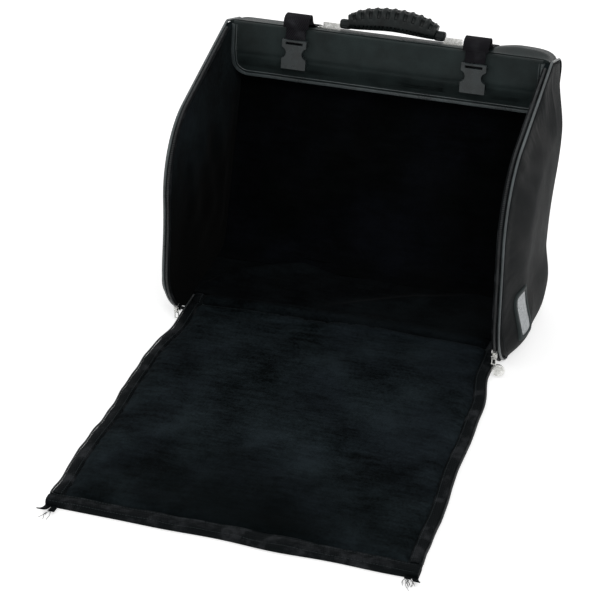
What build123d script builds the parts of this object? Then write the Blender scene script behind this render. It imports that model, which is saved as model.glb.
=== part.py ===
"""Soft accordion case: a padded upright body, a fold-down front panel and a buckled top flap.

Frame: millimetres, +X to the right, +Y to the back, +Z up, origin in the middle of the base.
The front panel is drawn lying open on the ground, the flap hanging inside the opening.
"""
import os
from math import asin, atan2, cos, degrees, radians, sin, sqrt, tan

from build123d import *

# ---- Body profile, seen from the side -------------------------------------------------
case_width = 490.0            # across the seams of the two side panels
base_depth = 180.0            # hinge line to the back edge of the base
back_setback = 125.0          # how far the top of the back stands behind the base
front_bulge = 62.0            # how far the opening edge swells in front of the hinge line
lower_arc_height = 95.0       # where the swelling edge becomes upright
upper_arc_height = 213.0      # where the upright edge starts to turn over the top
upper_arc_radius = 112.0
top_slope = 12.0              # degrees, the top rises towards the flap's fold
strip_fall = 20.0             # degrees, the top strip falls from there to the back
flap_line_setback = 138.0     # from the middle of the base to the front of the top strip
base_back_radius = 50.0
top_back_radius = 22.0
least_radius = 3.0

# ---- Wall ----------------------------------------------------------------------------
wall = 13.0
side_wall = 10.0              # padding of the sides at their seams
cover_skin = 2.0
lining_pile = 3.0
board = 4.0
seam_inset = 3.0              # side covers stop this far inside the outline, for the piping
seam_gap = 0.6                # between a side cover's edge and the piping's flange
piping_stand = 1.5
piping_width = 4.5
side_crown = 36.0             # outward swell of the padded sides
side_middle_setback = 78.0    # middle of the swell behind the lower arc's centre
side_middle_lift = 30.0       # and above the middle of the upright edge
flat_share = 0.5              # size of the flat middle of the swell, of the whole side
crown_steps = 6
strip_stand = 3.0             # the reinforced top strip stands this proud of the outline

# ---- Zips ----------------------------------------------------------------------------
tape_thickness = 1.2
coil_width = 4.0
coil_height = 2.6
coil_edge = 4.0               # coil to the seam plane of the side panel
zip_foot = 3.0                # height of the lower end of the zip
zip_top_setback = 20.0        # zip stops this far in front of the top strip
slider_length = 14.0
slider_wall = 1.2
slider_height = 6.4
slider_play = 0.4
slider_rest_right = 211.0     # degrees round the lower arc
slider_rest_left = 223.0
lug_rise = 2.4
lug_width = 2.8
link_wire = 2.0
puller_reach = 12.0
disc_radius = 10.0
disc_thickness = 1.8
disc_offset = 7.0             # the disc hangs outboard, clear of the closed panel
disc_overlap = 1.0

# ---- Front panel ---------------------------------------------------------------------
panel_thickness = 14.0
panel_play = 1.5              # beside the zip sliders, at each side
panel_clear = 0.5             # beside the padding of the sides, at each side
narrow_length = 60.0          # the panel stays narrow this far past the gusset
taper_length = 30.0
gusset_length = 71.5
lower_length = 216.0
corner_length = 84.0
top_length = 158.5
panel_gap = 0.3
edge_band = 16.0              # zip tape and binding along the sides
hem_depth = 24.0
tail_length = 14.0            # zip tape ends that stick out past the hem
tail_width = 9.0

# ---- Flap, straps and buckles ----------------------------------------------------------
flap_play = 2.0               # beside the side linings, at each side
flap_length = 96.0
flap_corner = 22.0
flap_skin = 2.0
flap_board = 1.5
flap_roll = 3.0
flap_hang = 80.0              # degrees below level
binding = 1.6
strap_gap = 3.0               # between a strap and the handle's end plate
webbing_width = 38.0
webbing = 2.2
strap_run = 46.0              # sewn length down the back
stub_rise = 12.0
buckle_width = 37.0
buckle_length = 44.0
buckle_depth = 11.0
buckle_start = 12.0           # from the flap's fold
buckle_lift = 1.0
waist_radius = 9.0
waist_depth = 6.5
mouth_width = 26.0
mouth_height = 7.0
mouth_length = 24.0
bar_slot = 4.0
plug_tail = 38.0              # anchor to the plug's root
plug_reach = 68.0             # anchor to the prongs' tips
plug_root = 12.0
plug_thickness = 5.4
plug_guide = 5.0
plug_prong = 5.0
plug_play = 0.6
plug_rest = 0.6               # height above the ground
anchor_setback = 37.0         # from the panel's front edge
pocket_nose = 12.5
pocket_depth = 9.0

# ---- Handle --------------------------------------------------------------------------
handle_setback = 168.0
handle_span = 156.0           # over the two end loops
loop_width = 14.0
loop_depth = 14.0
loop_height = 15.0
loop_clear = 2.5              # above the top strip
loop_round = 5.0
pin_radius = 2.0
pin_play = 0.1
pivot_height = 8.0
grip_depth = 25.0
grip_height = 15.0
grip_rise = 14.0
grip_base = 13.0              # pivot to the underside of the grip at its ends
core_depth = 14.0
core_thickness = 3.0
rib_count = 11
rib_gap = 5.0
cap_length = 35.0
cap_depth = 15.0
cap_height = 4.0
bulge_length = 27.0
screw_radius = 3.2

# ---- Label window --------------------------------------------------------------------
window_length = 44.0          # along the side
window_height = 76.0
window_border = 8.0
window_foot = 32.0            # above the ground
window_setback = 48.0         # behind the upright opening edge
window_skin = 1.4

# ---- Derived places -------------------------------------------------------------------
half_width = case_width / 2
lining_plane = half_width - side_wall
foam_plane = lining_plane + lining_pile
coil_x1 = half_width - coil_edge
coil_x0 = coil_x1 - coil_width
slider_x0 = coil_x0 - slider_play - slider_wall
slider_x1 = coil_x1 + slider_play + slider_wall
panel_half_width = foam_plane - panel_clear
narrow_half_width = slider_x0 - panel_play
flap_half_width = lining_plane - flap_play
strap_offset = handle_span / 2 + cap_length + strap_gap + webbing_width / 2
hinge_y = -base_depth / 2
front_y = hinge_y - front_bulge
lower_radius = (front_bulge ** 2 + lower_arc_height ** 2) / (2 * front_bulge)
lower_centre = (front_y + lower_radius, lower_arc_height)
upper_centre = (front_y + upper_arc_radius, upper_arc_height)
slope = radians(top_slope)
turn = (upper_centre[0] - upper_arc_radius * sin(slope), upper_centre[1] + upper_arc_radius * cos(slope))


apex = (flap_line_setback - 1.0, turn[1] + (flap_line_setback - 1.0 - turn[0]) * tan(slope))


def strip_z(y):
    """Height of the outline's falling top strip at a given depth."""
    return apex[1] - (y - apex[0]) * tan(radians(strip_fall))


back_top = (base_depth / 2 + back_setback, strip_z(base_depth / 2 + back_setback))
fold_y = flap_line_setback - flap_roll - 1.0
fold_z = apex[1] - 0.5
os.makedirs("parts", exist_ok=True)


def save(name, shape):
    shape.label = name
    export_step(shape, f"parts/{name}.step")


def group(*solids):
    return Compound(children=[s for part in solids for s in part.solids()])


# ---- Outline and its offsets ------------------------------------------------------------
def arc_point(centre, radius, angle):
    return (centre[0] + radius * cos(radians(angle)), centre[1] + radius * sin(radians(angle)))


def meet(first, second, amount):
    """Where two straight runs cross, each a point and a direction in degrees, moved to its right."""
    (ay, az), a = first[0], radians(first[1])
    (by, bz), b = second[0], radians(second[1])
    ay, az = ay + amount * sin(a), az - amount * cos(a)
    by, bz = by + amount * sin(b), bz - amount * cos(b)
    run = ((by - ay) * sin(b) - (bz - az) * cos(b)) / sin(b - a)
    return (ay + run * cos(a), az + run * sin(a))


top_run = (turn, top_slope)
strip_run = (apex, -strip_fall)
back_run = ((base_depth / 2, 0), degrees(atan2(-back_top[1], -back_setback)))
base_run = ((base_depth / 2, 0), 180)


def inset(amount):
    """The side outline moved inwards; a negative amount moves it outwards."""
    lower_r, upper_r = lower_radius - amount, upper_arc_radius - amount
    drop = lower_centre[1] - amount
    start = (lower_centre[0] - sqrt(lower_r ** 2 - drop ** 2), amount)
    foot_angle = 180 + degrees(asin(drop / lower_r))
    edge_y = front_y + amount
    turn_in = arc_point(upper_centre, upper_r, 90 + top_slope)
    peak = meet(top_run, strip_run, amount)
    head = meet(strip_run, back_run, amount)
    back_foot = meet(back_run, base_run, amount)
    face = make_face([
        ThreePointArc(start, arc_point(lower_centre, lower_r, (foot_angle + 180) / 2), (edge_y, lower_centre[1])),
        Line((edge_y, lower_centre[1]), (edge_y, upper_centre[1])),
        ThreePointArc((edge_y, upper_centre[1]), arc_point(upper_centre, upper_r, 135 + top_slope / 2), turn_in),
        Line(turn_in, peak),
        Line(peak, head),
        Line(head, back_foot),
        Line(back_foot, start),
    ])
    for corner, radius in ((head, top_back_radius), (back_foot, base_back_radius)):
        vertex = face.vertices().sort_by_distance(Vector(*corner))[0]
        face = fillet(vertex, max(radius - amount, least_radius))
    return face


outline = inset(0)


def slab(face, x0, x1):
    return Pos(x0, 0, 0) * extrude(Plane.YZ * face, amount=x1 - x0)


def block(x0, x1, y0, y1, z0, z1):
    return Pos((x0 + x1) / 2, (y0 + y1) / 2, (z0 + z1) / 2) * Box(x1 - x0, y1 - y0, z1 - z0)


def shell(outer, inner, x0, x1):
    return slab(inset(outer) - inset(inner), x0, x1)


reach = 4 * case_width
above_ground = block(-reach, reach, -reach, reach, 0, reach)


def mirrored(shape):
    return mirror(shape, about=Plane.YZ)


# ---- Base, back and top strip -----------------------------------------------------------
seam_height = base_back_radius * 0.35
top_seam = back_top[1] - 1.5 * wall
back_clear = block(-reach, reach, -reach, flap_line_setback, turn[1] - 2 * wall, reach)
base_zone = block(-reach, reach, hinge_y + panel_gap, reach, 0, seam_height)
back_zone = block(-reach, reach, 0, reach, seam_height, top_seam) - back_clear
top_zone = block(-reach, reach, flap_line_setback, reach, top_seam, reach)


def body_layer(outer, inner, zone):
    return shell(outer, inner, -lining_plane, lining_plane) & zone


flat_back = base_depth / 2 - base_back_radius
board_top = cover_skin + board
save("base_cover", body_layer(0, cover_skin, base_zone))
save("base_board", block(-lining_plane, lining_plane, hinge_y + cover_skin, flat_back, cover_skin, board_top))
save("base_lining", body_layer(cover_skin, wall, base_zone)
     - block(-reach, reach, hinge_y, flat_back, cover_skin, board_top))
save("back_cover", body_layer(0, cover_skin, back_zone))
save("back_foam", body_layer(cover_skin, wall - lining_pile, back_zone))
save("back_lining", body_layer(wall - lining_pile, wall, back_zone))
save("top_cover", body_layer(-strip_stand, cover_skin, top_zone))
save("top_board", body_layer(cover_skin, board_top, top_zone))
save("top_lining", body_layer(board_top, wall, top_zone))


# ---- Side panels --------------------------------------------------------------------------
def at_x(face, x):
    return Pos(x, 0, 0) * (Plane.YZ * face)


side_middle = (lower_centre[0] + side_middle_setback, (lower_arc_height + upper_arc_height) / 2 + side_middle_lift)


seam_outline = inset(seam_inset + seam_gap)
piping_plane = half_width + piping_stand - piping_width


def swollen(skin):
    """The right side inside its outer skin: flat at the seam, then a pillow of ruled bands."""
    edge = inset(seam_inset + seam_gap + skin)
    sections = []
    for step in range(crown_steps + 1):
        share = step / crown_steps
        rise = side_crown * (1 - cos(radians(180 * share))) / 2
        ring = scale(Pos(-side_middle[0], -side_middle[1]) * edge, 1 - share * (1 - flat_share))
        sections.append(at_x(Pos(*side_middle) * ring, half_width - skin + rise))
    pillow = loft(sections, ruled=True)
    return slab(edge, foam_plane, half_width - skin) + pillow


swell = swollen(0)
foam_core = swollen(cover_skin) + slab(seam_outline, foam_plane, piping_plane)
side_cover = swell - foam_core
side_foam = foam_core + (shell(0, seam_inset + seam_gap, foam_plane, piping_plane) & above_ground)
side_lining = slab(outline, lining_plane, foam_plane)
piping = shell(-piping_stand, seam_inset, piping_plane, half_width + piping_stand) & above_ground

zip_top_y = flap_line_setback - zip_top_setback
opening_zone = block(-reach, reach, -reach, zip_top_y, zip_foot, reach) - \
    block(-reach, reach, 0, reach, 0, upper_centre[1])
zip_tape = shell(-tape_thickness, 0, lining_plane, piping_plane) & opening_zone
coil_top = tape_thickness + coil_height
zip_coil = shell(-coil_top, -tape_thickness, coil_x0, coil_x1) & opening_zone

for name, shape in (("side_cover", side_cover), ("side_foam", side_foam), ("side_lining", side_lining),
                    ("piping", piping), ("zip_tape", zip_tape), ("zip_coil", zip_coil)):
    save(f"{name}_right", shape)
    save(f"{name}_left", mirrored(shape))

# ---- Label window on the right side ----------------------------------------------------------
window_y0 = front_y + window_setback
window_y1 = window_y0 + window_length
window_z1 = window_foot + window_height
inner_y0, inner_y1 = window_y0 + window_border, window_y1 - window_border
inner_z0, inner_z1 = window_foot + window_border, window_z1 - window_border
skin_shell = (Pos(window_skin, 0, 0) * swell) - swell
pane_shell = (Pos(window_skin / 2, 0, 0) * swell) - swell
window_hole = block(0, reach, inner_y0, inner_y1, inner_z0, inner_z1)
frame_zone = block(half_width, reach, window_y0, window_y1, window_foot, window_z1)
save("label_frame", (skin_shell & frame_zone) - window_hole)
save("label_card", pane_shell & window_hole)
save("label_window", (skin_shell - pane_shell) & window_hole)


# ---- Zip sliders and pullers ------------------------------------------------------------
def sector(radius0, radius1, angle, spread, x0, x1):
    """Part of a ring round the lower arc's axis, between two radii."""
    half = radians(spread / 2)
    edge = 2 * radius1
    wedge = make_face(Polyline((0, 0), (edge * cos(half), -edge * sin(half)),
                               (edge * cos(half), edge * sin(half)), close=True))
    ring = (Circle(radius1) - Circle(radius0)) & wedge
    return slab(Pos(*lower_centre) * Rot(0, 0, angle) * ring, x0, x1)


slider_spread = degrees(slider_length / lower_radius)
coil_mid = (coil_x0 + coil_x1) / 2
slider_foot = lower_radius + tape_thickness + slider_play
slider_roof = lower_radius + coil_top + slider_play
slider_crest = slider_foot + slider_height
lug_radius = slider_crest + lug_rise


def zip_slider(angle):
    body = sector(slider_foot, slider_crest, angle, slider_spread, slider_x0, slider_x1)
    channel = sector(slider_foot / 2, slider_roof, angle, 2 * slider_spread,
                     coil_x0 - slider_play, coil_x1 + slider_play)
    lug = sector(slider_crest - 0.5, lug_radius + lug_rise, angle, slider_spread * 0.55,
                 coil_mid - lug_width / 2, coil_mid + lug_width / 2)
    bore = pin_place(angle) * Rot(0, 90, 0) * Cylinder(link_wire / 2 + slider_play, 2 * lug_width)
    return body - channel + lug - bore


def pin_place(angle):
    return Pos(coil_mid, *arc_point(lower_centre, lug_radius, angle))


def zip_puller(angle, disc):
    """A pin through the lug, two legs and a cross bar, with a plain disc on the bar if asked."""
    leg_x = lug_width / 2 + slider_play + link_wire / 2
    pin = Rot(0, 90, 0) * Cylinder(link_wire / 2, 2 * leg_x + link_wire)
    legs = [Pos(side * leg_x, 0, -puller_reach / 2) * Cylinder(link_wire / 2, puller_reach) for side in (-1, 1)]
    bar = Pos(0, 0, -puller_reach) * Rot(0, 90, 0) * Cylinder(link_wire / 2, 2 * leg_x + link_wire)
    pull = pin + legs[0] + legs[1] + bar
    if disc:
        centre = (disc_offset, 0, -puller_reach - disc_radius + disc_overlap)
        pull += Pos(*centre) * Rot(90, 0, 0) * Cylinder(disc_radius, disc_thickness)
    return pin_place(angle) * pull


save("zip_slider_right", zip_slider(slider_rest_right))
save("zip_puller_right", zip_puller(slider_rest_right, True))
save("zip_slider_left", mirrored(zip_slider(slider_rest_left)))
save("zip_puller_left", mirrored(zip_puller(slider_rest_left, False)))


# ---- Front panel, lying open -------------------------------------------------------------
segment_starts = [hinge_y]
for length in (gusset_length, lower_length, corner_length, top_length):
    segment_starts.append(segment_starts[-1] - length)
hem_y = segment_starts[4] + hem_depth
anchor_y = segment_starts[4] + anchor_setback


def span(index, last_gap):
    """Front and rear ends of one stretch of the panel."""
    return segment_starts[index + 1] + last_gap, segment_starts[index] - panel_gap


def border(index):
    """Right edge of one stretch from rear to front, as plan points; the first stretches are narrow."""
    front, rear = span(index, panel_gap)
    wide, narrow = panel_half_width, narrow_half_width
    if index == 0:
        return [(narrow, rear), (narrow, front)]
    if index == 1:
        step = segment_starts[1] - narrow_length
        return [(narrow, rear), (narrow, step), (wide, step - taper_length), (wide, front)]
    return [(wide, rear), (wide, hem_y if index == 3 else front)]


def plate(edge, margin, z0, z1):
    """A flat piece between both edges of a stretch, each moved inwards by a margin."""
    right = [(x - margin, y) for x, y in edge]
    left = [(-x, y) for x, y in reversed(right)]
    return Pos(0, 0, z0) * extrude(make_face(Polyline(*right, *left, close=True)), amount=z1 - z0)


def panel_stretch(index):
    """Outer cover, padded lining and the edge band with its half of the zip."""
    edge = border(index)
    teeth = coil_width / 2
    cover = plate(edge, 0, 0, cover_skin)
    lining = plate(edge, edge_band, cover_skin, panel_thickness)
    band = plate(edge, teeth, cover_skin, panel_thickness) - plate(edge, edge_band, cover_skin, panel_thickness)
    teeth_z = (panel_thickness - coil_height, panel_thickness)
    return cover, lining, [band, plate(edge, 0, *teeth_z) - plate(edge, teeth, *teeth_z)]


def pocket(side):
    """Room under the panel for a buckle plug lying against the padding."""
    width = webbing_width / 2 + 2 * plug_play
    return Pos(side * strap_offset, 0, 0) * block(-width, width, anchor_y - pocket_nose,
                                                  anchor_y + plug_reach + 2 * plug_play, -1, pocket_depth)


for index, name in enumerate(("gusset", "panel_lower", "panel_corner", "panel_top")):
    cover, lining, zip_pieces = panel_stretch(index)
    if name == "panel_top":
        for side in (-1, 1):
            cover -= pocket(side)
            lining -= pocket(side)
        tail = block(panel_half_width - tail_width, panel_half_width - 1, segment_starts[4] - tail_length,
                     segment_starts[4], cover_skin, 2 * cover_skin)
        zip_pieces += [tail, mirrored(tail)]
    save(f"{name}_cover", cover)
    save(f"{name}_lining", lining)
    save(f"{name}_zip", group(*zip_pieces))

hem = block(-panel_half_width, panel_half_width, segment_starts[4], hem_y, 0, panel_thickness)
nose = hem.edges().filter_by(Axis.X).group_by(Axis.Y)[0]
save("front_hem", fillet(nose, panel_thickness * 0.4))


# ---- Buckle plugs under the panel --------------------------------------------------------
def buckle_plug():
    """Tail of webbing and the two-pronged half of a side-release buckle, pointing backwards."""
    tail = block(-webbing_width / 2, webbing_width / 2, 1.0, plug_tail, 0, webbing)
    tail = Pos(0, 0, plug_rest) * tail
    body_z = (plug_rest, plug_rest + plug_thickness)
    root = block(-buckle_width / 2, buckle_width / 2, plug_tail - plug_root / 2, plug_tail + plug_root / 2, *body_z)
    tongue = block(-plug_guide / 2, plug_guide / 2, plug_tail, plug_reach - 2, *body_z)
    prongs = [Pos(side * (mouth_width / 2 - plug_prong), 0, 0) *
              block(-plug_prong / 2, plug_prong / 2, plug_tail, plug_reach, *body_z) for side in (-1, 1)]
    tips = [Pos(side * (mouth_width / 2 - plug_prong / 2 - plug_play), plug_reach - plug_prong, 0) *
            block(-plug_prong, plug_prong / 2, -plug_prong, plug_prong, *body_z) for side in (-1, 1)]
    return tail + root + tongue + prongs[0] + prongs[1] + tips[0] + tips[1]


for side, name in ((-1, "left"), (1, "right")):
    save(f"buckle_plug_{name}", Pos(side * strap_offset, anchor_y, 0) * buckle_plug())
anchor = block(-webbing_width / 2, webbing_width / 2, anchor_y - pocket_nose + 1, anchor_y - 1,
               plug_rest + webbing + plug_play, pocket_depth)
save("plug_anchors", group(*[Pos(side * strap_offset, 0, 0) * anchor for side in (-1, 1)]))

# ---- Flap, built level and pointing forwards, then hung ----------------------------------------
hang = Pos(0, fold_y, fold_z) * Rot(flap_hang, 0, 0)


def flap_blank(grow):
    """The flap's outline, rounded at the two free corners."""
    half, tip = flap_half_width + grow, -flap_length - grow
    root = -flap_roll - 1.0
    face = make_face(Polyline((-half, root), (half, root), (half, tip), (-half, tip), close=True))
    return fillet(face.vertices().group_by(Axis.Y)[0], flap_corner + grow)


def flap_layer(grow, z0, z1):
    return Pos(0, 0, z0) * extrude(flap_blank(grow), amount=z1 - z0)


flap_half = flap_skin + flap_board / 2
roll = Rot(0, 90, 0) * Cylinder(flap_roll, 2 * flap_half_width)
neck = block(-flap_half_width, flap_half_width, -flap_roll - 1.0, 0, flap_board / 2, flap_half)
save("flap_cover", hang * (flap_layer(0, flap_board / 2, flap_half) + neck + roll))
save("flap_board", hang * flap_layer(0, -flap_board / 2, flap_board / 2))
save("flap_lining", hang * flap_layer(0, -flap_half, -flap_board / 2))
save("flap_binding", hang * (flap_layer(binding, -flap_half, flap_half) - flap_layer(0, -flap_half, flap_half)
                             - block(-reach, reach, -flap_roll - 1.0, reach, -reach, reach)))


# ---- Buckle sockets and straps -------------------------------------------------------------
def buckle_socket():
    """Waisted shell of the buckle's socket half, mouth at the free end."""
    low = flap_half + buckle_lift
    shape = block(-buckle_width / 2, buckle_width / 2, -buckle_start - buckle_length, -buckle_start,
                  low, low + buckle_depth)
    waist_y = -buckle_start - buckle_length * 0.45
    for side in (-1, 1):
        shape -= Pos(side * (buckle_width / 2 + waist_radius - waist_depth), waist_y, low) * \
            Cylinder(waist_radius, 4 * buckle_depth)
    middle = low + buckle_depth / 2
    shape -= block(-mouth_width / 2, mouth_width / 2, -buckle_start - buckle_length - 1,
                   -buckle_start - buckle_length + mouth_length, middle - mouth_height / 2, middle + mouth_height / 2)
    shape -= block(-mouth_width / 2, mouth_width / 2, -buckle_start - 3 - bar_slot, -buckle_start - 3,
                   low - 1, low + buckle_depth + 1)
    return fillet(shape.edges().filter_by(Axis.X).group_by(Axis.Y)[-1], 2.5)


strap_zone = block(-webbing_width / 2, webbing_width / 2, flap_line_setback, reach,
                   back_top[1] - top_back_radius - strap_run, reach)
strap_band = slab(inset(-strip_stand - webbing) - inset(-strip_stand), -webbing_width / 2, webbing_width / 2)
stub_y0, stub_y1 = fold_y - 2.0, fold_y + 1.4 * stub_rise
stub = block(-webbing_width / 2, webbing_width / 2, stub_y0, stub_y1,
             apex[1] + strip_stand, apex[1] + stub_rise + flap_roll)
stub = fillet(stub.edges().filter_by(Axis.X).group_by(Axis.Z)[-1], stub_rise * 0.4)
strap = (strap_band & strap_zone) + stub
for side, name in ((-1, "left"), (1, "right")):
    save(f"strap_{name}", Pos(side * strap_offset, 0, 0) * strap)
    save(f"buckle_socket_{name}", Pos(side * strap_offset, 0, 0) * hang * buckle_socket())

# ---- Handle on the top strip ------------------------------------------------------------------
seat = Pos(0, handle_setback, strip_z(handle_setback)) * Rot(-strip_fall, 0, 0) * Pos(0, 0, strip_stand)
loop_x = handle_span / 2 - loop_width / 2


def end_cap():
    """Pressed metal cap with a raised middle and the pin for the handle's end."""
    x0 = handle_span / 2 + pin_play
    plate = block(x0, x0 + cap_length, -cap_depth / 2, cap_depth / 2, 0, cap_height / 2)
    bulge = block(x0, x0 + bulge_length, -cap_depth / 2 + 3, cap_depth / 2 - 3, 0, pivot_height + pin_radius)
    ramp = Pos(x0 + bulge_length, 0, pivot_height + pin_radius) * Rot(0, 28, 0) * \
        block(-2 * cap_length, cap_length, -cap_depth, cap_depth, 0, 2 * cap_length)
    pin = Pos(x0 - loop_width / 2, 0, pivot_height) * Rot(0, 90, 0) * Cylinder(pin_radius, loop_width + 2)
    return plate + (bulge - ramp) + pin


def end_loop():
    shape = block(loop_x - loop_width / 2, loop_x + loop_width / 2, -loop_depth / 2, loop_depth / 2,
                  loop_clear, loop_clear + loop_height)
    shape = fillet(shape.edges().filter_by(Axis.X).group_by(Axis.Z)[0], loop_round)
    bore = Pos(loop_x, 0, pivot_height) * Rot(0, 90, 0) * Cylinder(pin_radius + pin_play, 2 * loop_width)
    return shape - bore


grip_half = loop_x - loop_width / 2
grip_radius = (grip_half ** 2 + grip_rise ** 2) / (2 * grip_rise)
grip_foot = pivot_height + grip_base - grip_height / 2


def grip_ring(depth, low, high):
    """A curved bar of the handle: an arch between the two loops."""
    centre_z = grip_foot + grip_rise - grip_radius
    ring = Pos(0, centre_z) * (Circle(grip_radius + high) - Circle(grip_radius + low))
    ring &= Pos(0, grip_foot + reach / 2 - grip_height) * Rectangle(2 * grip_half, reach)
    return Pos(0, depth / 2, 0) * extrude(Plane.XZ * ring, amount=depth)


core_low = (grip_height - core_thickness) / 2
core = grip_ring(core_depth, core_low, core_low + core_thickness)
grip = grip_ring(grip_depth, 0, grip_height) - grip_ring(core_depth, core_low, core_low + core_thickness)
grip_angle = 2 * degrees(asin(grip_half / grip_radius))
for index in range(rib_count - 1):
    angle = grip_angle * ((index + 1) / rib_count - 0.5)
    slot = block(-rib_gap / 2, rib_gap / 2, -grip_depth, -core_depth / 2 - 1.5,
                 grip_radius + 4.0, grip_radius + grip_height - 2.5)
    slot += mirror(slot, about=Plane.XZ)
    grip -= Pos(0, 0, grip_foot + grip_rise - grip_radius) * Rot(0, angle, 0) * slot
cap = seat * end_cap()
loop = seat * end_loop()
screw_x = handle_span / 2 + cap_length - 3.5
screw = seat * Pos(screw_x, 0, cap_height / 2) * (Pos(0, 0, 0.6) * Cylinder(screw_radius * 0.8, 1.2))
for name, shape in (("handle_cap", cap), ("handle_loop", loop)):
    save(f"{name}_right", shape)
    save(f"{name}_left", mirrored(shape))
save("handle_screws", group(screw, mirrored(screw)))
save("handle_core", seat * core)
save("handle_grip", seat * grip)

# ---- Places that the joints and mounts use ---------------------------------------------------------
places = {
    "lower arc centre": lower_centre,
    "left puller pin": arc_point(lower_centre, lug_radius, slider_rest_left),
    "right puller pin": arc_point(lower_centre, lug_radius, slider_rest_right),
    "panel pivots": [(y, panel_thickness) for y in segment_starts],
    "plug pivots": (anchor_y, plug_rest + webbing / 2),
    "flap fold": (fold_y, fold_z),
    "handle pivot": tuple((seat * Pos(0, 0, pivot_height)).position)[1:],
    "buckle pivot": tuple((hang * Pos(0, -buckle_start - 3, flap_half + buckle_lift + 4)).position)[1:],
}
for name, place in places.items():
    print(name, place)
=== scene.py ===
import bpy
import bmesh
import math
import numpy as np
from mathutils import Matrix, Vector


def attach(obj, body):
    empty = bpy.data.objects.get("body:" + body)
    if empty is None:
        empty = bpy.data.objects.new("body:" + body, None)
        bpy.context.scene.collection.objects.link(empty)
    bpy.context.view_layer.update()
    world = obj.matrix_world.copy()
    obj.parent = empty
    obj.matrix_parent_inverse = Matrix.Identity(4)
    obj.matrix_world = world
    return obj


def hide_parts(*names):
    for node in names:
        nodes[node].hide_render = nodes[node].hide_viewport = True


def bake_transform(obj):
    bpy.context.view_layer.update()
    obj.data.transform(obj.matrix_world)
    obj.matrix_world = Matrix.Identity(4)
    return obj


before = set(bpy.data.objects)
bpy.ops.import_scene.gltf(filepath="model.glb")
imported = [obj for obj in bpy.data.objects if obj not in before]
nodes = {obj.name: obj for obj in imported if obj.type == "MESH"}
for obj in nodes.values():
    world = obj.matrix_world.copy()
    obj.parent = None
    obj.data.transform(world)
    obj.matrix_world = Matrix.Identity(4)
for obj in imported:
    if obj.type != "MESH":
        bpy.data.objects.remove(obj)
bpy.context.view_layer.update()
print("frame loaded,", len(nodes), "nodes")


def tone(red, green, blue):  # 0-255 screen values to linear
    shares = [value / 255 for value in (red, green, blue)]
    return (*[share / 12.92 if share <= 0.04045 else ((share + 0.055) / 1.055) ** 2.4 for share in shares], 1.0)


class Wire:  # one node output that can be used in sums and products
    def __init__(self, graph, socket):
        self.graph, self.socket = graph, socket

    def math(self, operation, *values):
        return self.graph.node("ShaderNodeMath", {"operation": operation}, dict(enumerate(values)))

    def sine(self): return self.math("SINE", self)
    def size(self): return self.math("ABSOLUTE", self)
    def larger(self, other): return self.math("MAXIMUM", self, other)
    def __add__(self, other): return self.math("ADD", self, other)
    def __radd__(self, other): return self.math("ADD", other, self)
    def __sub__(self, other): return self.math("SUBTRACT", self, other)
    def __rsub__(self, other): return self.math("SUBTRACT", other, self)
    def __mul__(self, other): return self.math("MULTIPLY", self, other)
    def __rmul__(self, other): return self.math("MULTIPLY", other, self)
    def __pow__(self, other): return self.math("POWER", self, other)


class Graph:  # a node tree, with one method that makes any node
    def __init__(self, tree):
        self.tree = tree

    def node(self, kind, settings=None, values=None, out=0):
        made = self.tree.nodes.new(kind)
        for name, value in (settings or {}).items():
            setattr(made, name, value)
        for name, value in (values or {}).items():
            self.put(made, name, value)
        return Wire(self, made.outputs[out]) if len(made.outputs) else None

    def put(self, made, name, value):  # links a wire to a socket, or sets a constant
        if isinstance(value, Wire):
            self.tree.links.new(value.socket, made.inputs[name])
        else:
            made.inputs[name].default_value = value


class Finish(Graph):  # one material: a Principled shader and the nodes that feed it
    def __init__(self, name, **constants):
        self.material = bpy.data.materials.new(name)
        self.material.use_nodes = True
        super().__init__(self.material.node_tree)
        self.shader = self.tree.nodes["Principled BSDF"]
        self.feed(**constants)
        self.place = self.node("ShaderNodeTexCoord", out="Object")
        self.cloth = self.node("ShaderNodeUVMap", {"uv_map": "cloth"})

    def axis(self, letter, source=None):
        return self.node("ShaderNodeSeparateXYZ", None, {"Vector": source or self.place}, letter)

    def noise(self, scale, detail=3.0, rough=0.55, stretch=None):  # stretch: a different scale each way
        place = self.place
        if stretch:
            place = self.node("ShaderNodeMapping", None, {"Vector": place, "Scale": stretch})
        return self.node("ShaderNodeTexNoise", None,
                         {"Vector": place, "Scale": scale, "Detail": detail, "Roughness": rough})

    def mix(self, share, first, second):
        return self.node("ShaderNodeMix", {"data_type": "RGBA"}, {0: share, 6: first, 7: second}, 2)

    def between(self, value, low, high, out0=0.0, out1=1.0):
        return self.node("ShaderNodeMapRange", None, {"Value": value, 1: low, 2: high, 3: out0, 4: out1})

    def bump(self, height, strength, distance, under=None):
        values = {"Height": height, "Strength": strength, "Distance": distance}
        if under:
            values["Normal"] = under
        return self.node("ShaderNodeBump", None, values)

    def feed(self, **links):
        for socket, value in links.items():
            self.put(self.shader, socket.replace("_", " "), value)
        return self.material


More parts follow.
